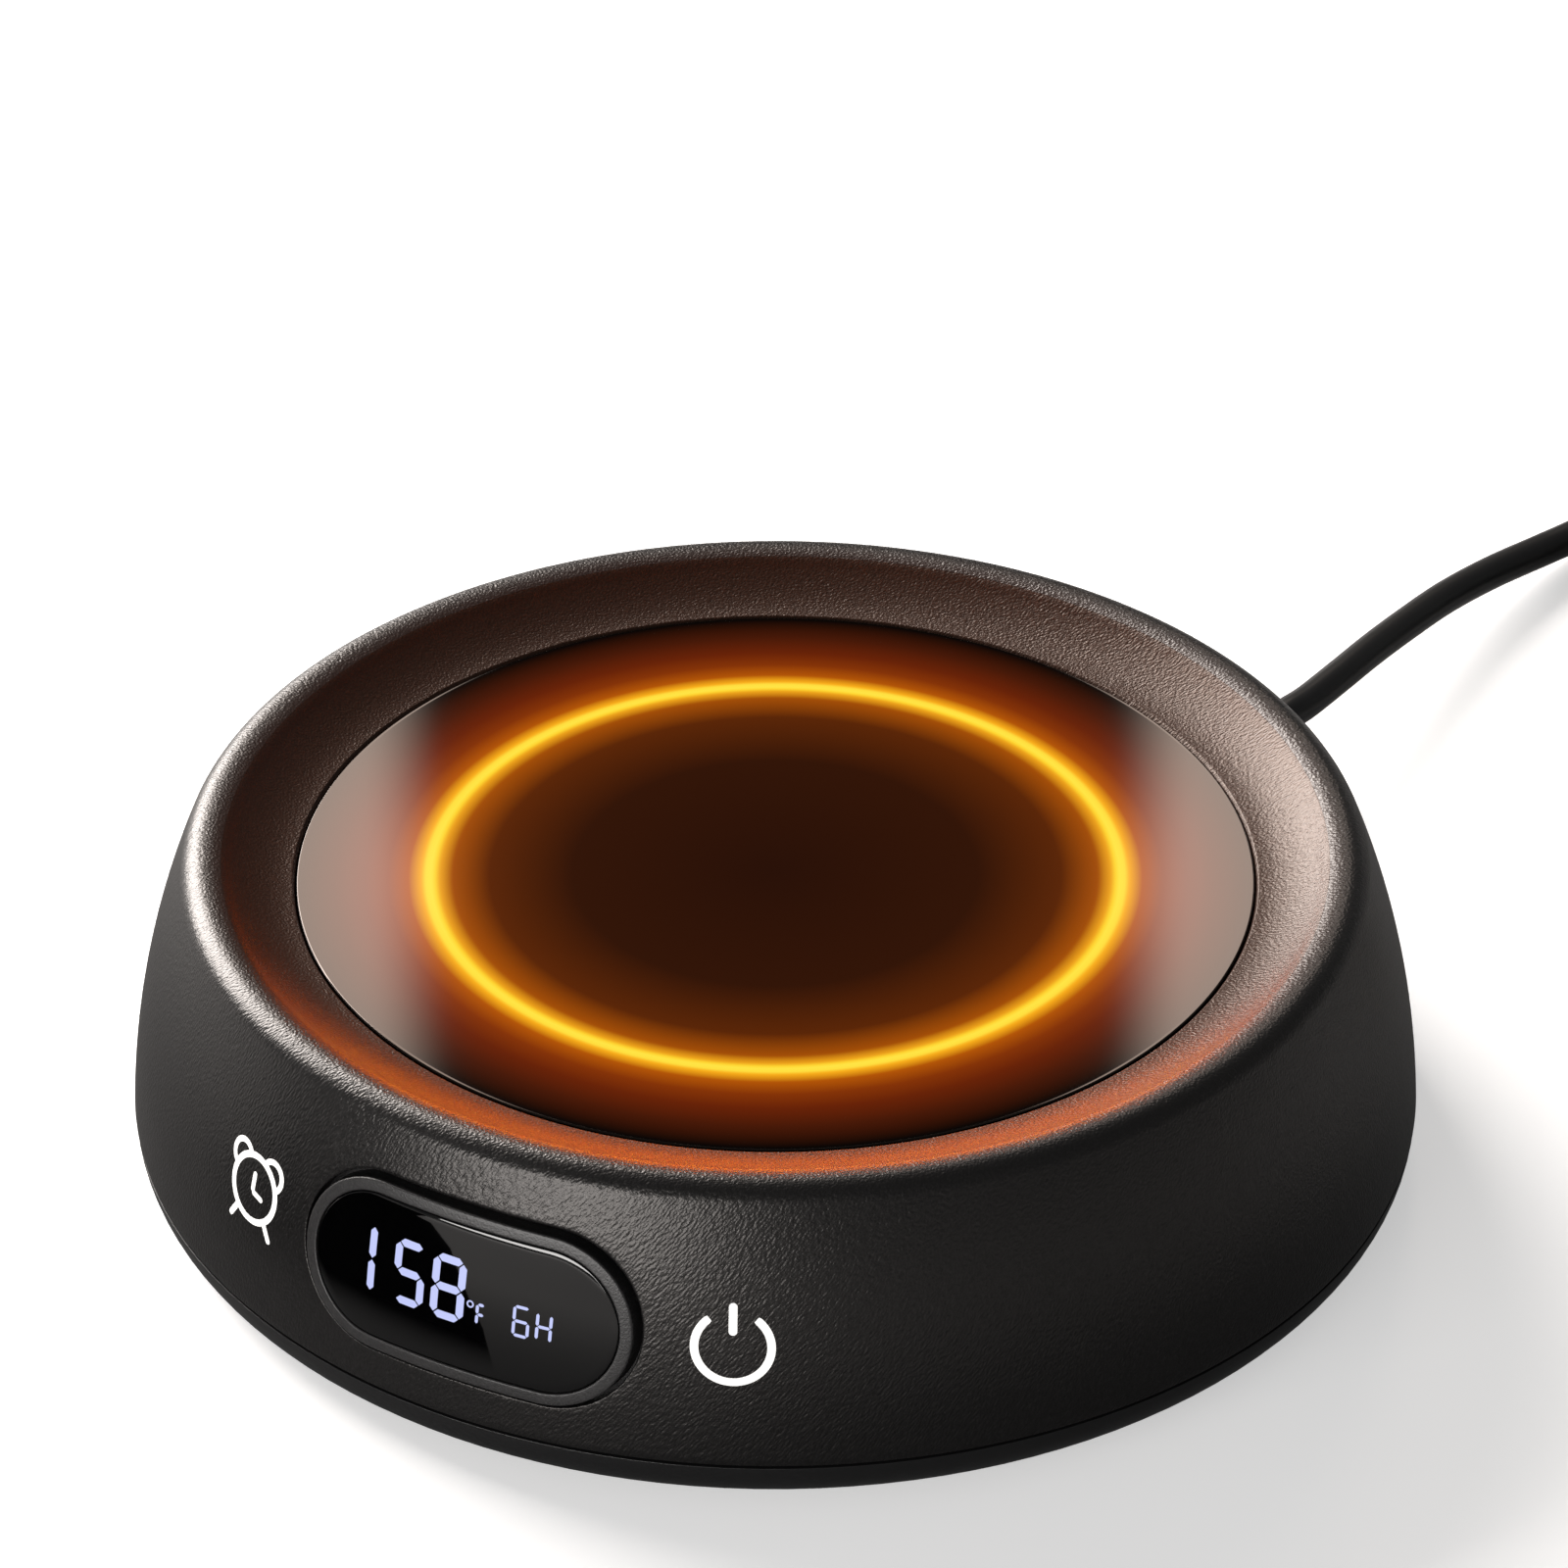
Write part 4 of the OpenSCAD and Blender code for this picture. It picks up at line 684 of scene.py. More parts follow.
def markStrip(points, faces, line, widths, place, thickness, closed=False):
    # line is the middle of the stroke, widths its full width, everywhere or at each stop
    count, base = len(line), len(points)
    widths = widths if isinstance(widths, list) else [widths] * count
    for i, ((x, y), w) in enumerate(zip(line, widths)):
        ax, ay = line[(i - 1) % count] if closed else line[max(i - 1, 0)]
        bx, by = line[(i + 1) % count] if closed else line[min(i + 1, count - 1)]
        length = hypot(bx - ax, by - ay)
        nx, ny = -(by - ay) / length * w / 2, (bx - ax) / length * w / 2
        for lift in (thickness, -markDepth):
            points.extend([place(x + nx, y + ny, lift), place(x - nx, y - ny, lift)])
    for i in range(count if closed else count - 1):
        a, b = base + 4 * i, base + 4 * ((i + 1) % count)
        faces.extend([(a, a + 1, b + 1, b), (b + 2, b + 3, a + 3, a + 2), (a + 2, a, b, b + 2),
                      (a + 1, a + 3, b + 3, b + 1)])
    if not closed:
        last = base + 4 * (count - 1)
        faces.extend([(base, base + 2, base + 3, base + 1), (last + 1, last + 3, last + 2, last)])


def markStroke(points, faces, a, b, width, place, thickness, pointed=False, trim=0.0, step=0.5):
    # a straight stroke from a to b, less trim at both, with pointed or round ends
    line, widths, reach, span = [], [], width / 2, hypot(b[0] - a[0], b[1] - a[1])
    total = span - 2 * trim
    count = max(2, ceil(total / step))
    cap = [0, reach] if pointed else [reach * (1 - cos(radians(turn))) for turn in range(0, 91, 15)]
    middle = [total * i / count for i in range(count + 1) if reach < total * i / count < total - reach]
    for p in cap + middle + [total - c for c in reversed(cap)]:
        t, near = (trim + p) / span, min(p, total - p)
        line.append((a[0] + (b[0] - a[0]) * t, a[1] + (b[1] - a[1]) * t))
        if pointed:
            widths.append(width * max(0.04, min(1, near / reach)))
        else:
            widths.append(2 * sqrt(max(0.0001, reach ** 2 - (reach - near) ** 2)) if near < reach else width)
    markStrip(points, faces, line, widths, place, thickness)


def facePlace(x, y, lift):
    return facePoint(x, y, lens["recess"] - lift)


# Each glyph is a set of seven-segment strokes in its own box: left, right, low and high on the lens
segments = {"a": ((0, 1), (1, 1)), "b": ((1, 1), (1, 0.5)), "c": ((1, 0.5), (1, 0)), "d": ((0, 0), (1, 0)),
            "e": ((0, 0.5), (0, 0)), "f": ((0, 1), (0, 0.5)), "g": ((0, 0.5), (1, 0.5))}
glyphs = {"1": "bc", "5": "afgcd", "8": "abcdefg", "F": "afge", "6": "afgecd", "H": "fbgec"}
bigDigits = {"stroke": 0.88, "boxes": {"1": (-13.4, -10.45, -3.05, 5.25), "5": (-8.0, -4.15, -2.6, 4.8),
                                       "8": (-3.27, 0.75, -2.6, 4.75)}}
smallDigits = {"stroke": 0.34, "boxes": {"F": (2.18, 3.34, -2.11, 0.5), "6": (6.39, 8.31, -2.06, 1.55),
                                         "H": (8.98, 10.8, -1.93, 1.43)}}
degree = {"x": 1.49, "y": 0.11, "radius": 0.335, "stroke": 0.17, "steps": 24}


def addGlyph(points, faces, glyph, left, right, low, high, stroke):
    wide, tall, inset, trim = right - left - stroke, high - low - stroke, stroke / 2, 0.09 * stroke / 0.85 + 0.03
    for number, segment in enumerate(glyphs[glyph]):
        a, b = ((left + inset + wide * x, low + inset + tall * y) for x, y in segments[segment])
        markStroke(points, faces, a, b, stroke, facePlace, lens["digitLift"] + 0.001 * number, True, trim)


def buildDigits():
    points, faces = [], []
    for text in (bigDigits, smallDigits):
        for glyph, box in text["boxes"].items():
            addGlyph(points, faces, glyph, *box, text["stroke"])
    ring = arcLine(degree["x"], degree["y"], degree["radius"], 0, 360, degree["steps"])[:-1]
    markStrip(points, faces, ring, degree["stroke"], facePlace, lens["digitLift"], closed=True)
    return meshPiece("displayDigits", points, faces, digitGlow, crease=30, merge=0)


touchMark = {"lift": 0.018, "overlap": 0.003, "height": 20.8, "timerAngle": -24.4, "powerAngle": 24.9, "powerUp": -0.42}
timer = {"middle": -0.05, "radius": 3.72, "stroke": 0.74, "bellAt": (2.7, 2.8), "bellRadius": 1.6, "bellStroke": 0.66,
         "legs": ((2.3, -3.0), (3.55, -4.95)), "legStroke": 0.68, "handStroke": 0.62,
         "longHand": ((-0.15, 1.95), (-0.2, -0.4)), "shortHand": ((-0.2, -0.4), (1.65, -0.75))}
power = {"radius": 3.99, "stroke": 0.885, "endStroke": 0.72, "first": 128, "last": 412, "bar": ((0, 1.32), (0, 4.95)),
         "barStroke": 0.9}


def wallPlace(angle, rise):
    # flat drawing places wrapped on the wall round one angle from the front
    foot = asin((touchMark["height"] - wall["arcZ"]) / wall["arcRadius"])

    def place(x, y, lift):
        up, r = foot + (y + rise) / wall["arcRadius"], wall["arcRadius"] + lift
        azimuth = radians(angle) + x / wallRadius(touchMark["height"])
        return fromFront(azimuth, wall["arcX"] + r * cos(up), wall["arcZ"] + r * sin(up))
    return place


def buildTimerMark():
    points, faces = [], []
    place, x, lift = wallPlace(touchMark["timerAngle"], 0), timer["middle"], touchMark["lift"]
    over = lift + touchMark["overlap"]
    ring = arcLine(x, 0, timer["radius"], 0, 355, 71)
    markStrip(points, faces, ring, timer["stroke"], place, lift, closed=True)
    for side in (-1, 1):
        bx, by = x + side * timer["bellAt"][0], timer["bellAt"][1]
        bell = arcLine(bx, by, timer["bellRadius"], -180, 175, 71)
        bell = [p for p in bell if hypot(p[0] - x, p[1]) > timer["radius"]]
        angles = {p: atan2(p[1] - by, p[0] - bx) for p in bell}
        bell.sort(key=lambda p: angles[p] if side > 0 else -(angles[p] % (2 * pi)))
        markStrip(points, faces, bell, timer["bellStroke"], place, over)
        top, tip = ((x + side * across, up) for across, up in timer["legs"])
        markStroke(points, faces, top, tip, timer["legStroke"], place, over)
    markStroke(points, faces, *timer["longHand"], timer["handStroke"], place, over)
    markStroke(points, faces, *timer["shortHand"], timer["handStroke"], place, lift + 0.005)
    return meshPiece("timerMark", points, faces, printWhitePaintedGlow, crease=30, merge=0)


def buildPowerMark():
    points, faces = [], []
    place = wallPlace(touchMark["powerAngle"], touchMark["powerUp"])
    arc = arcLine(0, 0, power["radius"], power["first"], power["last"], 71)
    widths = [power["endStroke"]] + [power["stroke"]] * (len(arc) - 2) + [power["endStroke"]]
    markStrip(points, faces, arc, widths, place, touchMark["lift"])
    markStroke(points, faces, *power["bar"], power["barStroke"], place, touchMark["lift"])
    return meshPiece("powerMark", points, faces, printWhitePaintedGlow, crease=30, merge=0)


dress(buildDigits(), "housing", "lens")
dress(buildTimerMark(), "housing", "shell")
dress(buildPowerMark(), "housing", "shell")
print("digits and touch marks laid")


# Turned pieces: a Geometry Nodes tree rounds an outline's corners and spins it
def buildTurnTree():
    tree, given, out, ids = newTree("turnOutline", "Geometry", {
        "Outline": ("Geometry", None), "Segments": ("Int", 192), "Corner Steps": ("Int", 4),
        "Spin Radius": ("Float", 0.001), "Material": ("Material", None)}, {"Piece": "Geometry"})
    curve = addNode(tree, "GeometryNodeMeshToCurve", {0: given["Outline"]})
    corner = addNode(tree, "GeometryNodeInputNamedAttribute", {"Name": "cornerRound"}, data_type="FLOAT")
    fillet = addNode(tree, "GeometryNodeFilletCurve", mode="POLY")
    feed(tree, fillet, {"Curve": curve, "Radius": corner.outputs["Attribute"], "Count": given["Corner Steps"],
                        "Limit Radius": True})
    spin = addNode(tree, "GeometryNodeCurvePrimitiveCircle", {
        "Resolution": given["Segments"], "Radius": given["Spin Radius"]})
    sweep = addNode(tree, "GeometryNodeCurveToMesh", {"Curve": spin, "Profile Curve": fillet})
    merge = addNode(tree, "GeometryNodeMergeByDistance", {"Geometry": sweep, "Distance": 2e-7})
    paint = addNode(tree, "GeometryNodeSetMaterial", {"Geometry": merge, "Material": given["Material"]})
    feed(tree, out, {"Piece": paint})
    return tree, ids


# Repeats: one pattern set at each of its places, with a fixed random turn
def buildPlaceTree():
    tree, given, out, ids = newTree("setAtPlaces", "Geometry", {
        "Places": ("Geometry", None), "Pattern": ("Object", None), "Most Turn": ("Float", 0.0), "Seed": ("Int", 4),
        "Material": ("Material", None)}, {"Piece": "Geometry"})
    toPoints = addNode(tree, "GeometryNodeMeshToPoints", {"Mesh": given["Places"]})
    info = addNode(tree, "GeometryNodeObjectInfo", {"Object": given["Pattern"]})
    angle = addNode(tree, "FunctionNodeRandomValue", data_type="FLOAT")
    feed(tree, angle, {3: given["Most Turn"], "Seed": given["Seed"]})
    spin = addNode(tree, "ShaderNodeCombineXYZ", {"Z": angle.outputs[1]})
    setOut = addNode(tree, "GeometryNodeInstanceOnPoints", {
        "Points": toPoints, "Instance": info.outputs["Geometry"], "Rotation": spin})
    real = addNode(tree, "GeometryNodeRealizeInstances", {"Geometry": setOut})
    paint = addNode(tree, "GeometryNodeSetMaterial", {"Geometry": real, "Material": given["Material"]})
    feed(tree, out, {"Piece": paint})
    return tree, ids


turnTree, placeTree = buildTurnTree(), buildPlaceTree()


def runTree(name, mesh, treeAndIds, crease, inputs):
    # the tree's modifier on the mesh, as a plain mesh; inputs are set by identifier before it is evaluated
    source = addObject(name + "Source", mesh)
    modifier = source.modifiers.new("make", "NODES")
    modifier.node_group, ids = treeAndIds
    for label, value in inputs.items():
        modifier[ids[label]] = value
    return bakedCopy(source, name, inputs["Material"], crease)


def turnedPiece(name, outline, material, segments=288, steps=4, crease=35):
    # outline is (radius, height, corner rounding), and closes on itself
    mesh = bpy.data.meshes.new(name + "Outline")
    edges = [(i, (i + 1) % len(outline)) for i in range(len(outline))]
    mesh.from_pydata([((r - 1.0) * mm, -z * mm, 0) for r, z, _ in outline], edges, [])
    mesh.attributes.new("cornerRound", "FLOAT", "POINT").data.foreach_set("value", [c * mm for _, _, c in outline])
    piece = runTree(name, mesh, turnTree, crease, {"Segments": segments, "Corner Steps": steps, "Spin Radius": 1.0 * mm,
                                                   "Material": material})
    tidyMesh(piece.data, crease, 0.0002)
    return piece


def setAtPlaces(name, pattern, angles, circle, z, material, turn=0.0, seed=4):
    mesh = bpy.data.meshes.new(name + "Places")
    mesh.from_pydata([[c * mm for c in turned(a, circle, 0, z)] for a in angles], [], [])
    piece = runTree(name, mesh, placeTree, 35, {"Pattern": pattern, "Most Turn": turn, "Seed": seed,
                                                "Material": material})
    bpy.data.objects.remove(pattern)
    return piece


# Dish ring and heating plate
dish = {"well": 52.12, "skirt": 1.75, "skirtFoot": 25.5, "top": 33.3, "step": 58.25, "edge": 59.985, "seat": 34.4,
        "thickness": 1.7, "sag": 0.6, "wellRound": 0.1, "wellLip": 0.3, "blend": 1.1, "underSteps": 8, "overSteps": 28,
        "rimBand": 0.08}
clips = {"count": 4, "arc": 12, "hook": [(56.85, 31.35), (58.15, 31.35), (59.05, 32.75), (58.15, 32.75), (58.15, 34.5),
                                         (56.85, 33.8)]}
plate = {"radius": 51.94, "low": 29.3, "top": 33.3, "chamfer": 0.12, "round": 0.07, "flatBand": 0.3}


def dishHeight(r):
    width = wall["seam"] - dish["well"]
    slope = (wall["seamTop"] - dish["top"]) / width
    return dish["top"] + (r - dish["well"]) * (slope - 4 * dish["sag"] * (wall["seam"] - r) / width ** 2)


def dishTop(r):
    # the crest's own rounding runs on past the seam before the slope takes over
    share = min(1.0, (wall["seam"] - r) / dish["blend"])
    if share == 1.0:
        return dishHeight(r)
    crest = wall["height"] - wall["crestRound"] + sqrt(wall["crestRound"] ** 2 - (wall["crest"] - r) ** 2)
    return crest * (1 - share) + dishHeight(r) * share


def buildDish():
    well, edge, step, lip = (dish[key] for key in ("well", "edge", "step", "wellLip"))
    skirt = well + dish["skirt"]
    under = [(skirt + (step - skirt) * i / dish["underSteps"]) for i in range(dish["underSteps"] + 1)]
    first, last, count = edge - dish["rimBand"], well + lip, dish["overSteps"]
    over = [first + (last - first) * i / count for i in range(count + 1)]
    outline = [(well, dish["skirtFoot"], 0.15), (skirt, dish["skirtFoot"], 0.15)]
    outline += [(r, dishHeight(r) - dish["thickness"], 0) for r in under]
    outline += [(step, dish["seat"], 0), (edge, dish["seat"], 0.05), (edge, dishTop(edge), 0)]
    outline += [(r, dishTop(r), 0) for r in over[:-1]]
    outline += [(over[-1], dishTop(over[-1]), dish["wellRound"]), (well, dish["top"] - lip, dish["wellRound"])]
    points, faces = [], []
    for k in range(clips["count"]):
        start = 360 / clips["count"] * k - clips["arc"] / 2
        loft(points, faces, [[turned(start + i, r, 0, z) for r, z in clips["hook"]] for i in range(clips["arc"] + 1)])
    ring = turnedPiece("dishRingBody", outline, dishPlastic)
    return joinPieces("dishRing", [ring, meshPiece("dishClips", points, faces, dishPlastic)])


def buildPlate():
    r, low, top, c, edge = (plate[key] for key in ("radius", "low", "top", "chamfer", "round"))
    outline = [(0, low, 0), (r - c, low, edge), (r, low + c, edge), (r, top - c, edge),
               (r - c, top, edge), (r - c - plate["flatBand"], top, 0), (r / 2, top, 0), (0, top, 0)]
    return turnedPiece("heatingPlate", outline, plateGlassPaintedGlow, crease=30)


dress(buildDish(), "housing", "dish", "dish_ring")
dress(buildPlate(), "hot_plate", "plate_glass", "heating_plate")
print("dish ring and plate turned")


# Feet and screws
foot = {"radius": 6.0, "height": 1.8, "angles": (45, 135, 225, 315), "circle": 55.0, "round": 0.45, "dimple": 4.0,
        "sink": 0.25}
caseScrew = {"seat": 3.6, "head": 2.9, "headHeight": 1.8, "shaft": 1.5, "length": 14.7, "pitch": 1.1,
             "threadDepth": 0.22, "slotWidth": 0.9, "slotDepth": 1.0, "turn": 1.5, "seed": 7}


def buildFeet():
    r, h, dimple, sink = (foot[key] for key in ("radius", "height", "dimple", "sink"))
    outline = [(0, sink, 0), (dimple - 0.3, sink, 0.1), (dimple, 0, 0.1), (r, 0, foot["round"]), (r, h, 0.15),
               (0, h, 0)]
    pattern = turnedPiece("footPattern", outline, footRubber, 64, 5)
    return setAtPlaces("rubberFeet", pattern, foot["angles"], foot["circle"], 0, footRubber)


def buildCaseScrews():
    # head below z 0, shaft with thread rings above it, and a cross slot with sloping ends
    r, head, high, pitch, length = (caseScrew[key] for key in ("shaft", "head", "headHeight", "pitch", "length"))
    root, width = r - caseScrew["threadDepth"], caseScrew["slotWidth"] / 2
    outline = [(0, -high, 0), (head * 0.55, -high, 0.4), (head * 0.93, -high * 0.72, 0.5),
               (head, -high * 0.35, 0.25), (head, 0, 0.05), (r, 0, 0)]
    z = pitch
    while z < length - 1.5:
        outline += [(root, z - pitch * 0.3, 0), (r, z, 0), (root, z + pitch * 0.3, 0)]
        z += pitch
    outline += [(root, length - 1.4, 0), (0.25, length, 0), (0, length, 0)]
    pattern = turnedPiece("caseScrewPattern", outline, platedSteel, 40, 3)
    points, faces = [], []
    corners = [(-head * 0.55, -width), (head * 0.55, -width), (head * 0.55, width), (-head * 0.55, width)]
    for angle in (0, 90):
        loft(points, faces, [[turned(angle, x * share, y * share, z) for x, y in corners]
                             for z, share in ((-high - 1, 1.0), (caseScrew["slotDepth"] - high, 0.55))])
    slots = meshPiece("caseScrewSlots", points, faces, None)
    pattern = cutAway(pattern, slots, "caseScrewPattern", 35, ownOverlaps=True)
    return setAtPlaces("caseScrews", pattern, boss["angles"], boss["circle"], caseScrew["seat"], platedSteel,
                       caseScrew["turn"], caseScrew["seed"])


baseTray = mergedCopy("base_tray", "baseTray", basePlastic, 32)
strainRelief = mergedCopy("strain_relief", "strainRelief", fittingVinyl, 30)
dress(buildFeet(), "housing", "feet", "feet")
dress(buildCaseScrews(), "housing", "screws", "case_screws")
dress(baseTray, "housing", "base", "base_tray")
dress(strainRelief, "housing", "cord_fitting", "strain_relief")
print("feet, screws, tray and strain relief set")


# Plug: a lofted grip with a ringed sleeve; its blades are the CAD part's own. Stations are (width, height, place)
plug = {"x": 93.0, "y": 133.0, "z": 8.5, "width": 25.0, "height": 17.0, "tail": 11.0, "corner": 3.0,
        "cornerGrowth": 3.5, "steps": 12, "sleeve": 2.7, "sleeveGrowth": 0.42, "rings": 3}
plugStations = [(0.44, 0.56, 10.6), (0.56, 0.64, 11.5), (0.69, 0.76, 14.5), (0.83, 0.87, 19.4), (0.92, 0.94, 23),
                (0.98, 0.98, 26.5), (1, 1, 30.5), (1, 1, 34), (0.985, 0.98, 34.6), (0.955, 0.94, 35)]


def roundedLoop(width, height, corner, steps):
    loop = []
    for cx, cy, start in ((1, -1, -90), (1, 1, 0), (-1, 1, 90), (-1, -1, 180)):
        loop += arcLine(cx * (width / 2 - corner), cy * (height / 2 - corner), corner, start, start + 90, steps)
    return loop


def buildPlug():
    x0, y0, z0, tail = plug["x"], plug["y"], plug["z"], plug["tail"]
    points, faces, sections = [], [], []
    for widthShare, heightShare, y in plugStations:
        w, h = plug["width"] * widthShare, plug["height"] * heightShare
        corner = min(plug["corner"] + plug["cornerGrowth"] * (1 - widthShare), h / 2 - 0.2, w / 2 - 0.2)
        sections.append([(x0 + x, y0 - y, z0 + z) for x, z in roundedLoop(w, h, corner, plug["steps"])])
    loft(points, faces, sections)
    grip = meshPiece("plugGrip", points, faces, fittingVinyl, crease=50)
    outline = [(0, 0, 0), (plug["sleeve"], 0, 0.4)]
    for ring in range(1, plug["rings"] + 1):
        y, r = tail * ring / (plug["rings"] + 1), plug["sleeve"] + plug["sleeveGrowth"] * ring
        outline += [(r - 0.1, y - 0.75, 0.25), (r - 0.75, y - 0.4, 0.2), (r - 0.75, y + 0.4, 0.2),
                    (r + 0.1, y + 0.75, 0.25)]
    outline += [(4.3, tail, 0), (4.3, tail + 1, 0), (0, tail + 1, 0)]
    sleeve = turnedPiece("plugSleeve", outline, fittingVinyl, 48, 3)
    sleeve.data.transform(Matrix.Translation(Vector((x0, y0, z0)) * mm) @ Matrix.Rotation(radians(90), 4, "X"))
    return joinPieces("plugBody", [grip, sleeve])


# Tie round the coil: a narrow band with a rounded section
tie = {"angle": 205.0, "width": 5.0, "thickness": 0.7, "near": 13.6, "far": 33.6, "low": 0.35, "high": 8.35,
       "innerRound": 2.6, "outerRound": 3.0, "steps": 8}


def buildTie():
    a, thickness = radians(tie["angle"]), tie["thickness"]
    outward, along = Vector((cos(a), sin(a), 0)), Vector((-sin(a), cos(a), 0))
    centre, reach = Vector((*cord["coilCentre"], 0)), (tie["near"] + tie["far"]) / 2
    length, height, level = tie["far"] - tie["near"], tie["high"] - tie["low"], (tie["high"] + tie["low"]) / 2
    sections = []
    for outer, shift in ((True, -0.5), (True, 0.5), (False, 0.5), (False, -0.5)):
        more = thickness if outer else -thickness
        loop = roundedLoop(length + more, height + more, tie["outerRound" if outer else "innerRound"], tie["steps"])
        aside = along * (shift * tie["width"])
        sections.append([tuple(centre + outward * (reach + u) + aside + Vector((0, 0, level + v))) for u, v in loop])
    points, faces = [], []
    loft(points, faces, sections, caps=False, around=True)
    return meshPiece("coilTie", points, faces, fittingVinyl)


def finish(material, *names):
    for name in names:
        nodes[name].data.materials.clear()
        nodes[name].data.materials.append(material)


plugBody, coilTie = buildPlug(), buildTie()
dress(plugBody, "housing", "cord_fitting", "plug_body")
finish(bladeBrass, "plug_blades")
dress(coilTie, "housing", "cord_fitting")
powerCord.data.materials.append(cordVinyl)
print("plug and tie made")


# Inner parts keep the CAD part's shapes and get their own finishes
metal = {"spread": 0.2, "driftSize": 500.0, "metallic": 1.0}
innerFinishes = [
    ("rolledAluminium", (0.72, 0.72, 0.74), 0.30, metal, "heat_spreader"),
    ("mica", (0.50, 0.42, 0.25), 0.28, {"spread": 0.35, "driftSize": 180.0, "bump": 0.01, "bumpSize": 700.0},
     "upper_mica", "lower_mica"),
    ("resistanceFoil", (0.42, 0.42, 0.44), 0.38, {**metal, "driftSize": 700.0}, "heating_element"),
    ("feltedFibre", (0.70, 0.68, 0.62), 0.9, {"bump": 0.08, "bumpSize": 2400.0}, "insulation_pad"),
    ("carrierPlastic", (0.045, 0.042, 0.038), 0.5, {"bump": 0.008}, "plate_carrier", "cord_clamp"),
    ("whiteEnamel", (0.68, 0.65, 0.56), 0.3, {}, "thermal_fuse"),
    ("blackPart", (0.02, 0.02, 0.022), 0.3, {"bump": 0.004}, "temperature_sensor", "weight_switch", "display_module"),
    ("plungerRed", (0.5, 0.05, 0.04), 0.28, {}, "switch_plunger"),
    ("solderMask", (0.02, 0.12, 0.06), 0.34, {"spread": 0.1, "bump": 0.006, "bumpSize": 900.0},
     "control_board", "power_board"),
    ("contactBrass", (0.72, 0.48, 0.18), 0.26, {"spread": 0.12, "driftSize": 400.0, "metallic": 1.0}, "touch_springs"),
    ("ribbonGrey", (0.30, 0.31, 0.33), 0.42, {}, "board_cable"),
    ("windingTape", (0.60, 0.42, 0.05), 0.32, {"bump": 0.01, "bumpSize": 500.0}, "transformer"),
    ("capacitorSleeve", (0.03, 0.05, 0.13), 0.26, {}, "filter_capacitors"),
    ("relayBlue", (0.03, 0.12, 0.30), 0.3, {}, "power_relay"),
    ("terminalGreen", (0.06, 0.22, 0.09), 0.34, {}, "terminal_block")]
for name, color, rough, relief, *names in innerFinishes:
    finish(plainMaterial(name, color, rough, **relief), *names)
finish(platedSteel, "board_screws", "clamp_screws")
finish(cordVinyl, "supply_lead")
siliconeLead = plainMaterial("siliconeLead", (0.45, 0.06, 0.03), 0.42, bump=0.004)

# The springs and the heater's leads stand between the housing and the plate
for node, name, material, slot, seat in (("plate_springs", "plateSprings", platedSteel, "screws", 13.0),
                                         ("heater_leads", "heaterLeads", siliconeLead, "lead_red", 9.0)):
    piece = mergedCopy(node, name, material)
    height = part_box(node)[1].z / mm - seat
    dress(piece, "housing", slot, node)
    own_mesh(piece)
print("inner parts finished")


# Studio: pale floor, grey world, soft lamps at the left, behind and in front, and cards that only reflections see;
# a lamp comes from (degrees from the front centre towards +X, degrees up, metres away)
studio = {"floorHalf": 4.0, "floorColor": 0.80, "floorLift": 0.48, "floorGloss": 0.06, "nearDim": 0.9, "farDim": 0.55,
          "dimFrom": 0.085, "dimTo": 0.18, "whiteFrom": 0.4, "whiteTo": 1.2, "underGlow": 0.35, "underFrom": 0.056,
          "underTo": 0.063, "worldLevel": 0.15}
lamps = {"key": {"from": (-112, 27, 1.2), "size": (0.90, 0.76), "level": 19.5, "color": (1.0, 0.94, 0.90)},
         "back": {"from": (-147, 36, 1.3), "size": (0.62, 0.50), "level": 4.4, "color": (1.0, 0.85, 0.75)},
         "front": {"from": (-7, 7, 0.6), "size": (0.44, 0.15), "level": 12.0, "color": (1.0, 0.97, 0.95)}}


def seenRays(tree):
    # the light path, and 1 for rays that come from the camera or through glass
    ray = addNode(tree, "ShaderNodeLightPath").outputs
    return ray, mathNode(tree, "MAXIMUM", ray["Is Camera Ray"], ray["Is Transmission Ray"])


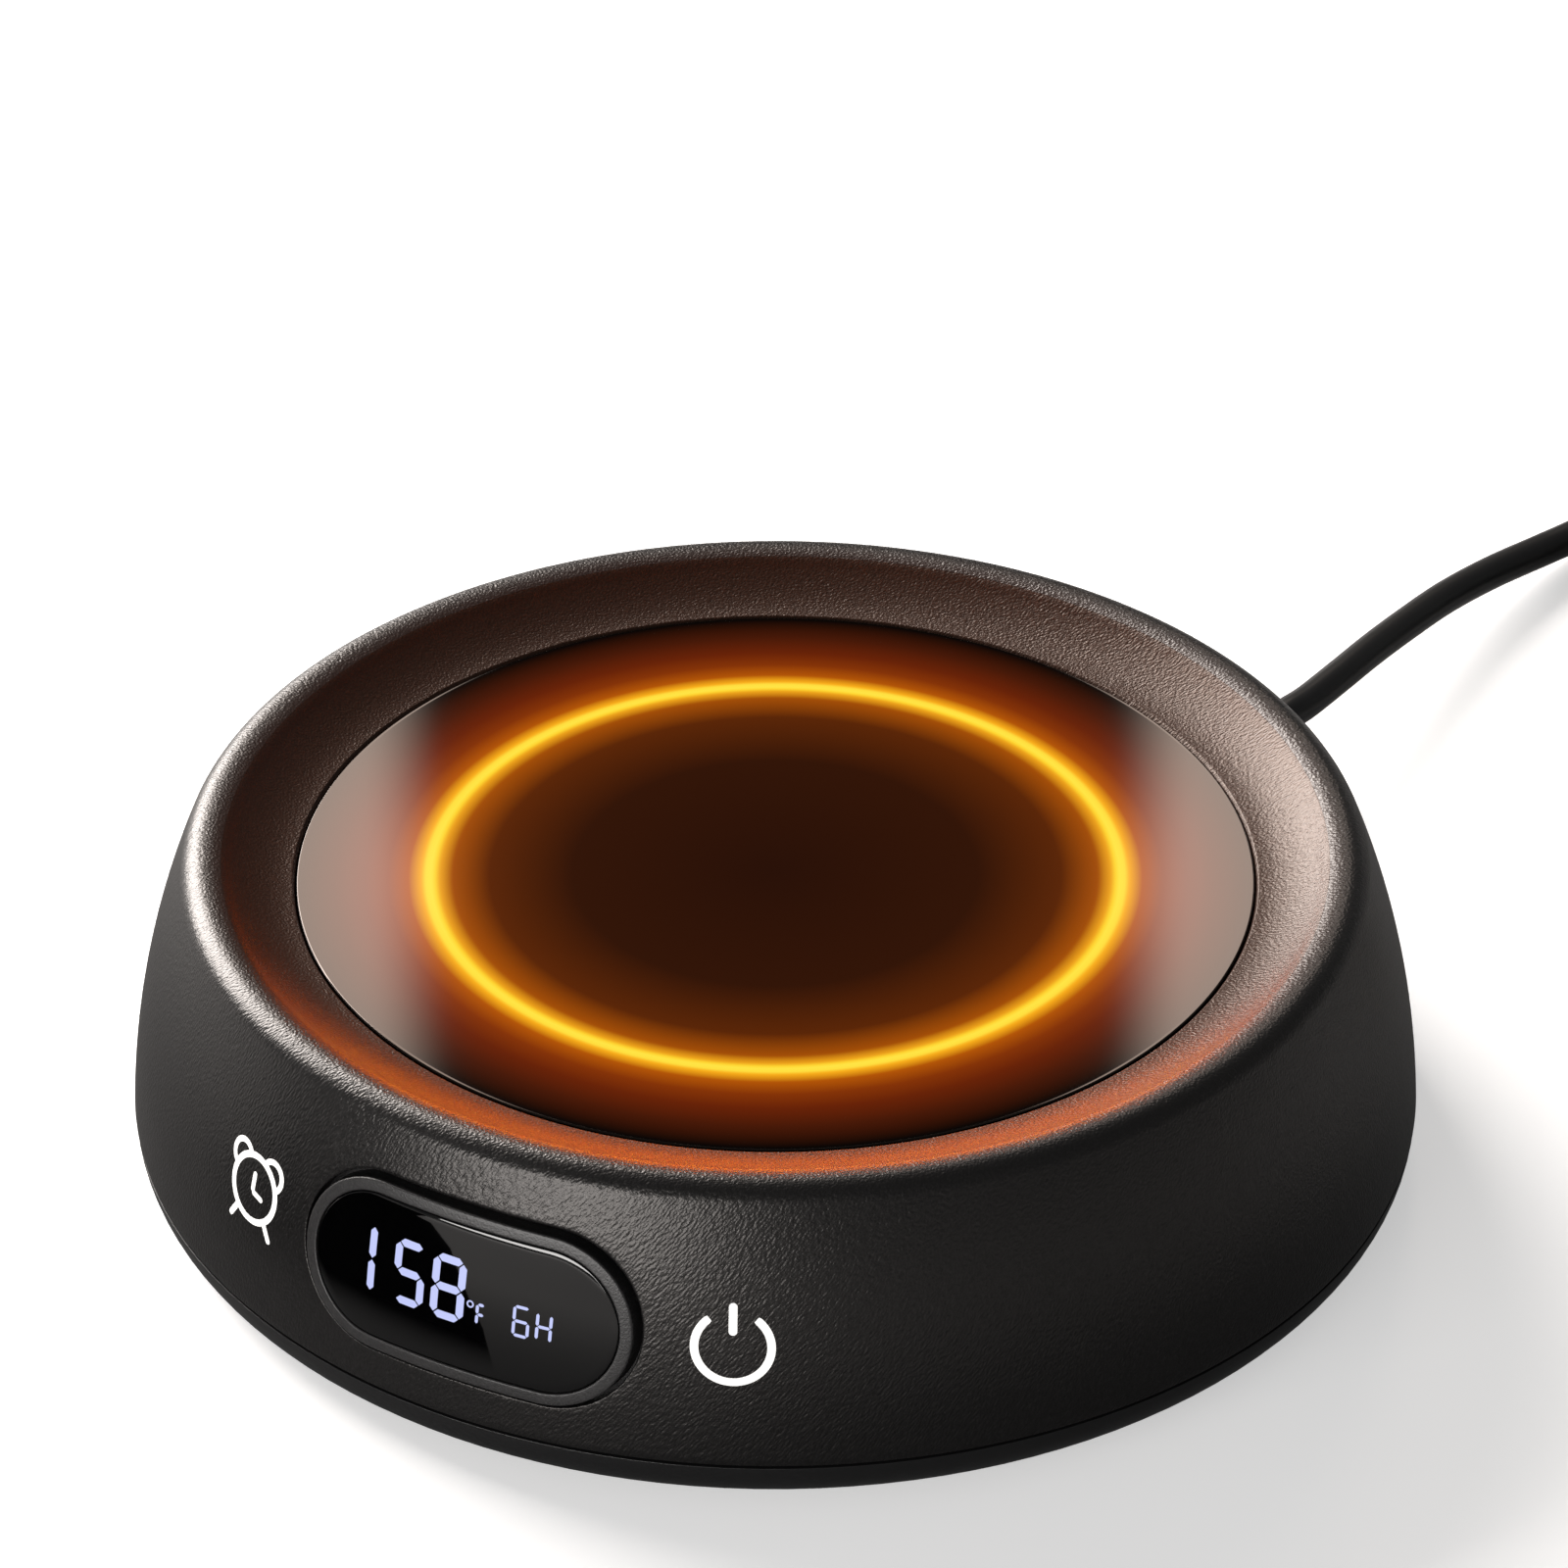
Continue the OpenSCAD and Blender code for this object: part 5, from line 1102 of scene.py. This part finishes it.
def floorPaper():
    # the seen colour is lifted towards white while it still takes shadows;
    # reflections see it darker, most of all close round the body, as painted shade
    color, near, far = studio["floorColor"], studio["nearDim"], studio["farDim"]
    material, tree, shader = newMaterial("floorPaper")
    tree.nodes.remove(shader)
    ray, seen = seenRays(tree)
    distance = addNode(tree, "ShaderNodeVectorMath", {0: objectCoords(tree)}, operation="LENGTH").outputs["Value"]
    dim = easeNode(tree, distance, studio["dimFrom"], studio["dimTo"], -color * near, -color * far)
    shade = mathNode(tree, "MULTIPLY_ADD", ray["Is Glossy Ray"], dim, color)
    diffuse = addNode(tree, "ShaderNodeBsdfDiffuse", {"Color": shade})
    # far from the body the seen floor goes over into the white behind it
    spread = easeNode(tree, distance, studio["whiteFrom"], studio["whiteTo"], studio["floorLift"], 1.0)
    mirrored = mathNode(tree, "MULTIPLY", ray["Is Glossy Ray"], studio["floorGloss"])
    lifted = mathNode(tree, "MULTIPLY_ADD", seen, spread, mirrored)
    # under the body it glows for the underside alone, and from below it isn't seen at all
    under = easeNode(tree, distance, studio["underFrom"], studio["underTo"], studio["underGlow"], 0.0)
    unseen = mathNode(tree, "SUBTRACT", 1.0, seen)
    glow = addNode(tree, "ShaderNodeEmission", {"Strength": mathNode(tree, "MULTIPLY_ADD", under, unseen, lifted)})
    lit = addNode(tree, "ShaderNodeAddShader", {0: diffuse, 1: glow})
    side, clear = addNode(tree, "ShaderNodeNewGeometry"), addNode(tree, "ShaderNodeBsdfTransparent")
    choose = addNode(tree, "ShaderNodeMixShader", {"Fac": side.outputs["Backfacing"], 1: lit, 2: clear})
    feed(tree, tree.nodes["Material Output"], {"Surface": choose})
    return material


floorMesh = bpy.data.meshes.new("floor")
half = studio["floorHalf"]
floorMesh.from_pydata([(-half, -half, 0), (half, -half, 0), (half, half, 0), (-half, half, 0)], [], [(0, 1, 2, 3)])
addObject("floor", floorMesh, floorPaper())

world = bpy.data.worlds.new("studio")
world.use_nodes = True
bpy.context.scene.world = world
tree = world.node_tree
level = mathNode(tree, "MULTIPLY_ADD", seenRays(tree)[1], 1.0 - studio["worldLevel"], studio["worldLevel"])
feed(tree, tree.nodes["Background"], {"Strength": level, "Color": (1, 1, 1, 1)})

middle = Vector((0, 0, 0.03))
for name, lamp in lamps.items():
    light = bpy.data.lights.new(name, "AREA")
    light.shape = "RECTANGLE"
    light.size, light.size_y = lamp["size"]
    light.color = lamp["color"]
    light.energy = lamp["level"] * pi * lamp["size"][0] * lamp["size"][1]
    lampObject = addObject(name, light)
    azimuth, rise, away = lamp["from"]
    towards = Vector(fromFront(radians(azimuth), cos(radians(rise)), sin(radians(rise))))
    lampObject.location = middle + towards * away
    lampObject.rotation_euler = (middle - lampObject.location).to_track_quat("-Z", "Y").to_euler()


def reflectionCard(name, corners, glow=(0, 0, 0), strength=0.0, fades=(), nearest=None, shades=False):
    # only reflections see it; each fade is a direction with the middle, the full and the whole half width along it,
    # and nearest holds the ray lengths between which the card comes in
    mesh = bpy.data.meshes.new(name)
    mesh.from_pydata([tuple(c) for c in corners], [], [tuple(range(len(corners)))])
    material, tree, shader = newMaterial(name + "Face")
    shares = []
    for axis, centre, full, gone in fades:
        along = addNode(tree, "ShaderNodeVectorMath", {0: objectCoords(tree), 1: tuple(axis)}, operation="DOT_PRODUCT")
        away = mathNode(tree, "ABSOLUTE", mathNode(tree, "SUBTRACT", along.outputs["Value"], centre))
        shares.append(easeNode(tree, away, full, gone, 1.0, 0.0))
    if nearest:
        shares.append(easeNode(tree, addNode(tree, "ShaderNodeLightPath").outputs["Ray Length"], *nearest, 0.0, 1.0))
    alpha = 1.0
    for share in shares:
        alpha = mathNode(tree, "MULTIPLY", share, alpha)
    feed(tree, shader, {"Base Color": (0, 0, 0, 1), "Specular IOR Level": 0, "Emission Color": (*glow, 1),
                        "Emission Strength": strength, "Alpha": alpha})
    card = addObject(name, mesh, material)
    card.visible_camera = card.visible_diffuse = card.visible_transmission = False
    card.visible_shadow = shades


# Dark ones stand behind the plate and the front of the dish, square to the camera, and one lies on the table as painted
# shade round the body for reflections; a low amber one is the warm light that the hot foot of a full cup throws
# forwards on the dish
view = Vector((*camera["look"][:2], 0)).normalized()
across = Vector((-view.y, view.x, 0))
upwards = Vector((0, 0, 1))
tableCorners = [(-400, -700), (-139, -262), (-114, -236), (-65, -190), (-29, -137), (-15, -116), (-4, -95), (-2, -76),
                (-60, -60), (-400, -300)]


def standing(behind, left, right, low, high):
    corners = ((left, low), (right, low), (right, high), (left, high))
    return [view * behind + across * x + upwards * z for x, z in corners]


reflectionCard("plateFlag", standing(0.40, -0.070, 0.070, 0.10, 0.47), fades=[(across, 0.0, 0.055, 0.069)], shades=True)
reflectionCard("dishFlag", standing(0.41, -0.24, 0.13, 0.03, 0.25),
               fades=[(across, -0.055, 0.12, 0.185), (upwards, 0.14, 0.075, 0.11)])
reflectionCard("amberCard", standing(0.12, -0.06, 0.06, 0.040, 0.070), (1.0, 0.15, 0.004), 11.0,
               [(across, 0.0, 0.026, 0.058), (upwards, 0.055, 0.005, 0.015)], (0.145, 0.172))
reflectionCard("floorFlag", [Vector((x * mm, y * mm, 0.0005)) for x, y in tableCorners], nearest=(0.028, 0.045))
bpy.context.scene.view_settings.view_transform = "Standard"
print("studio lit")
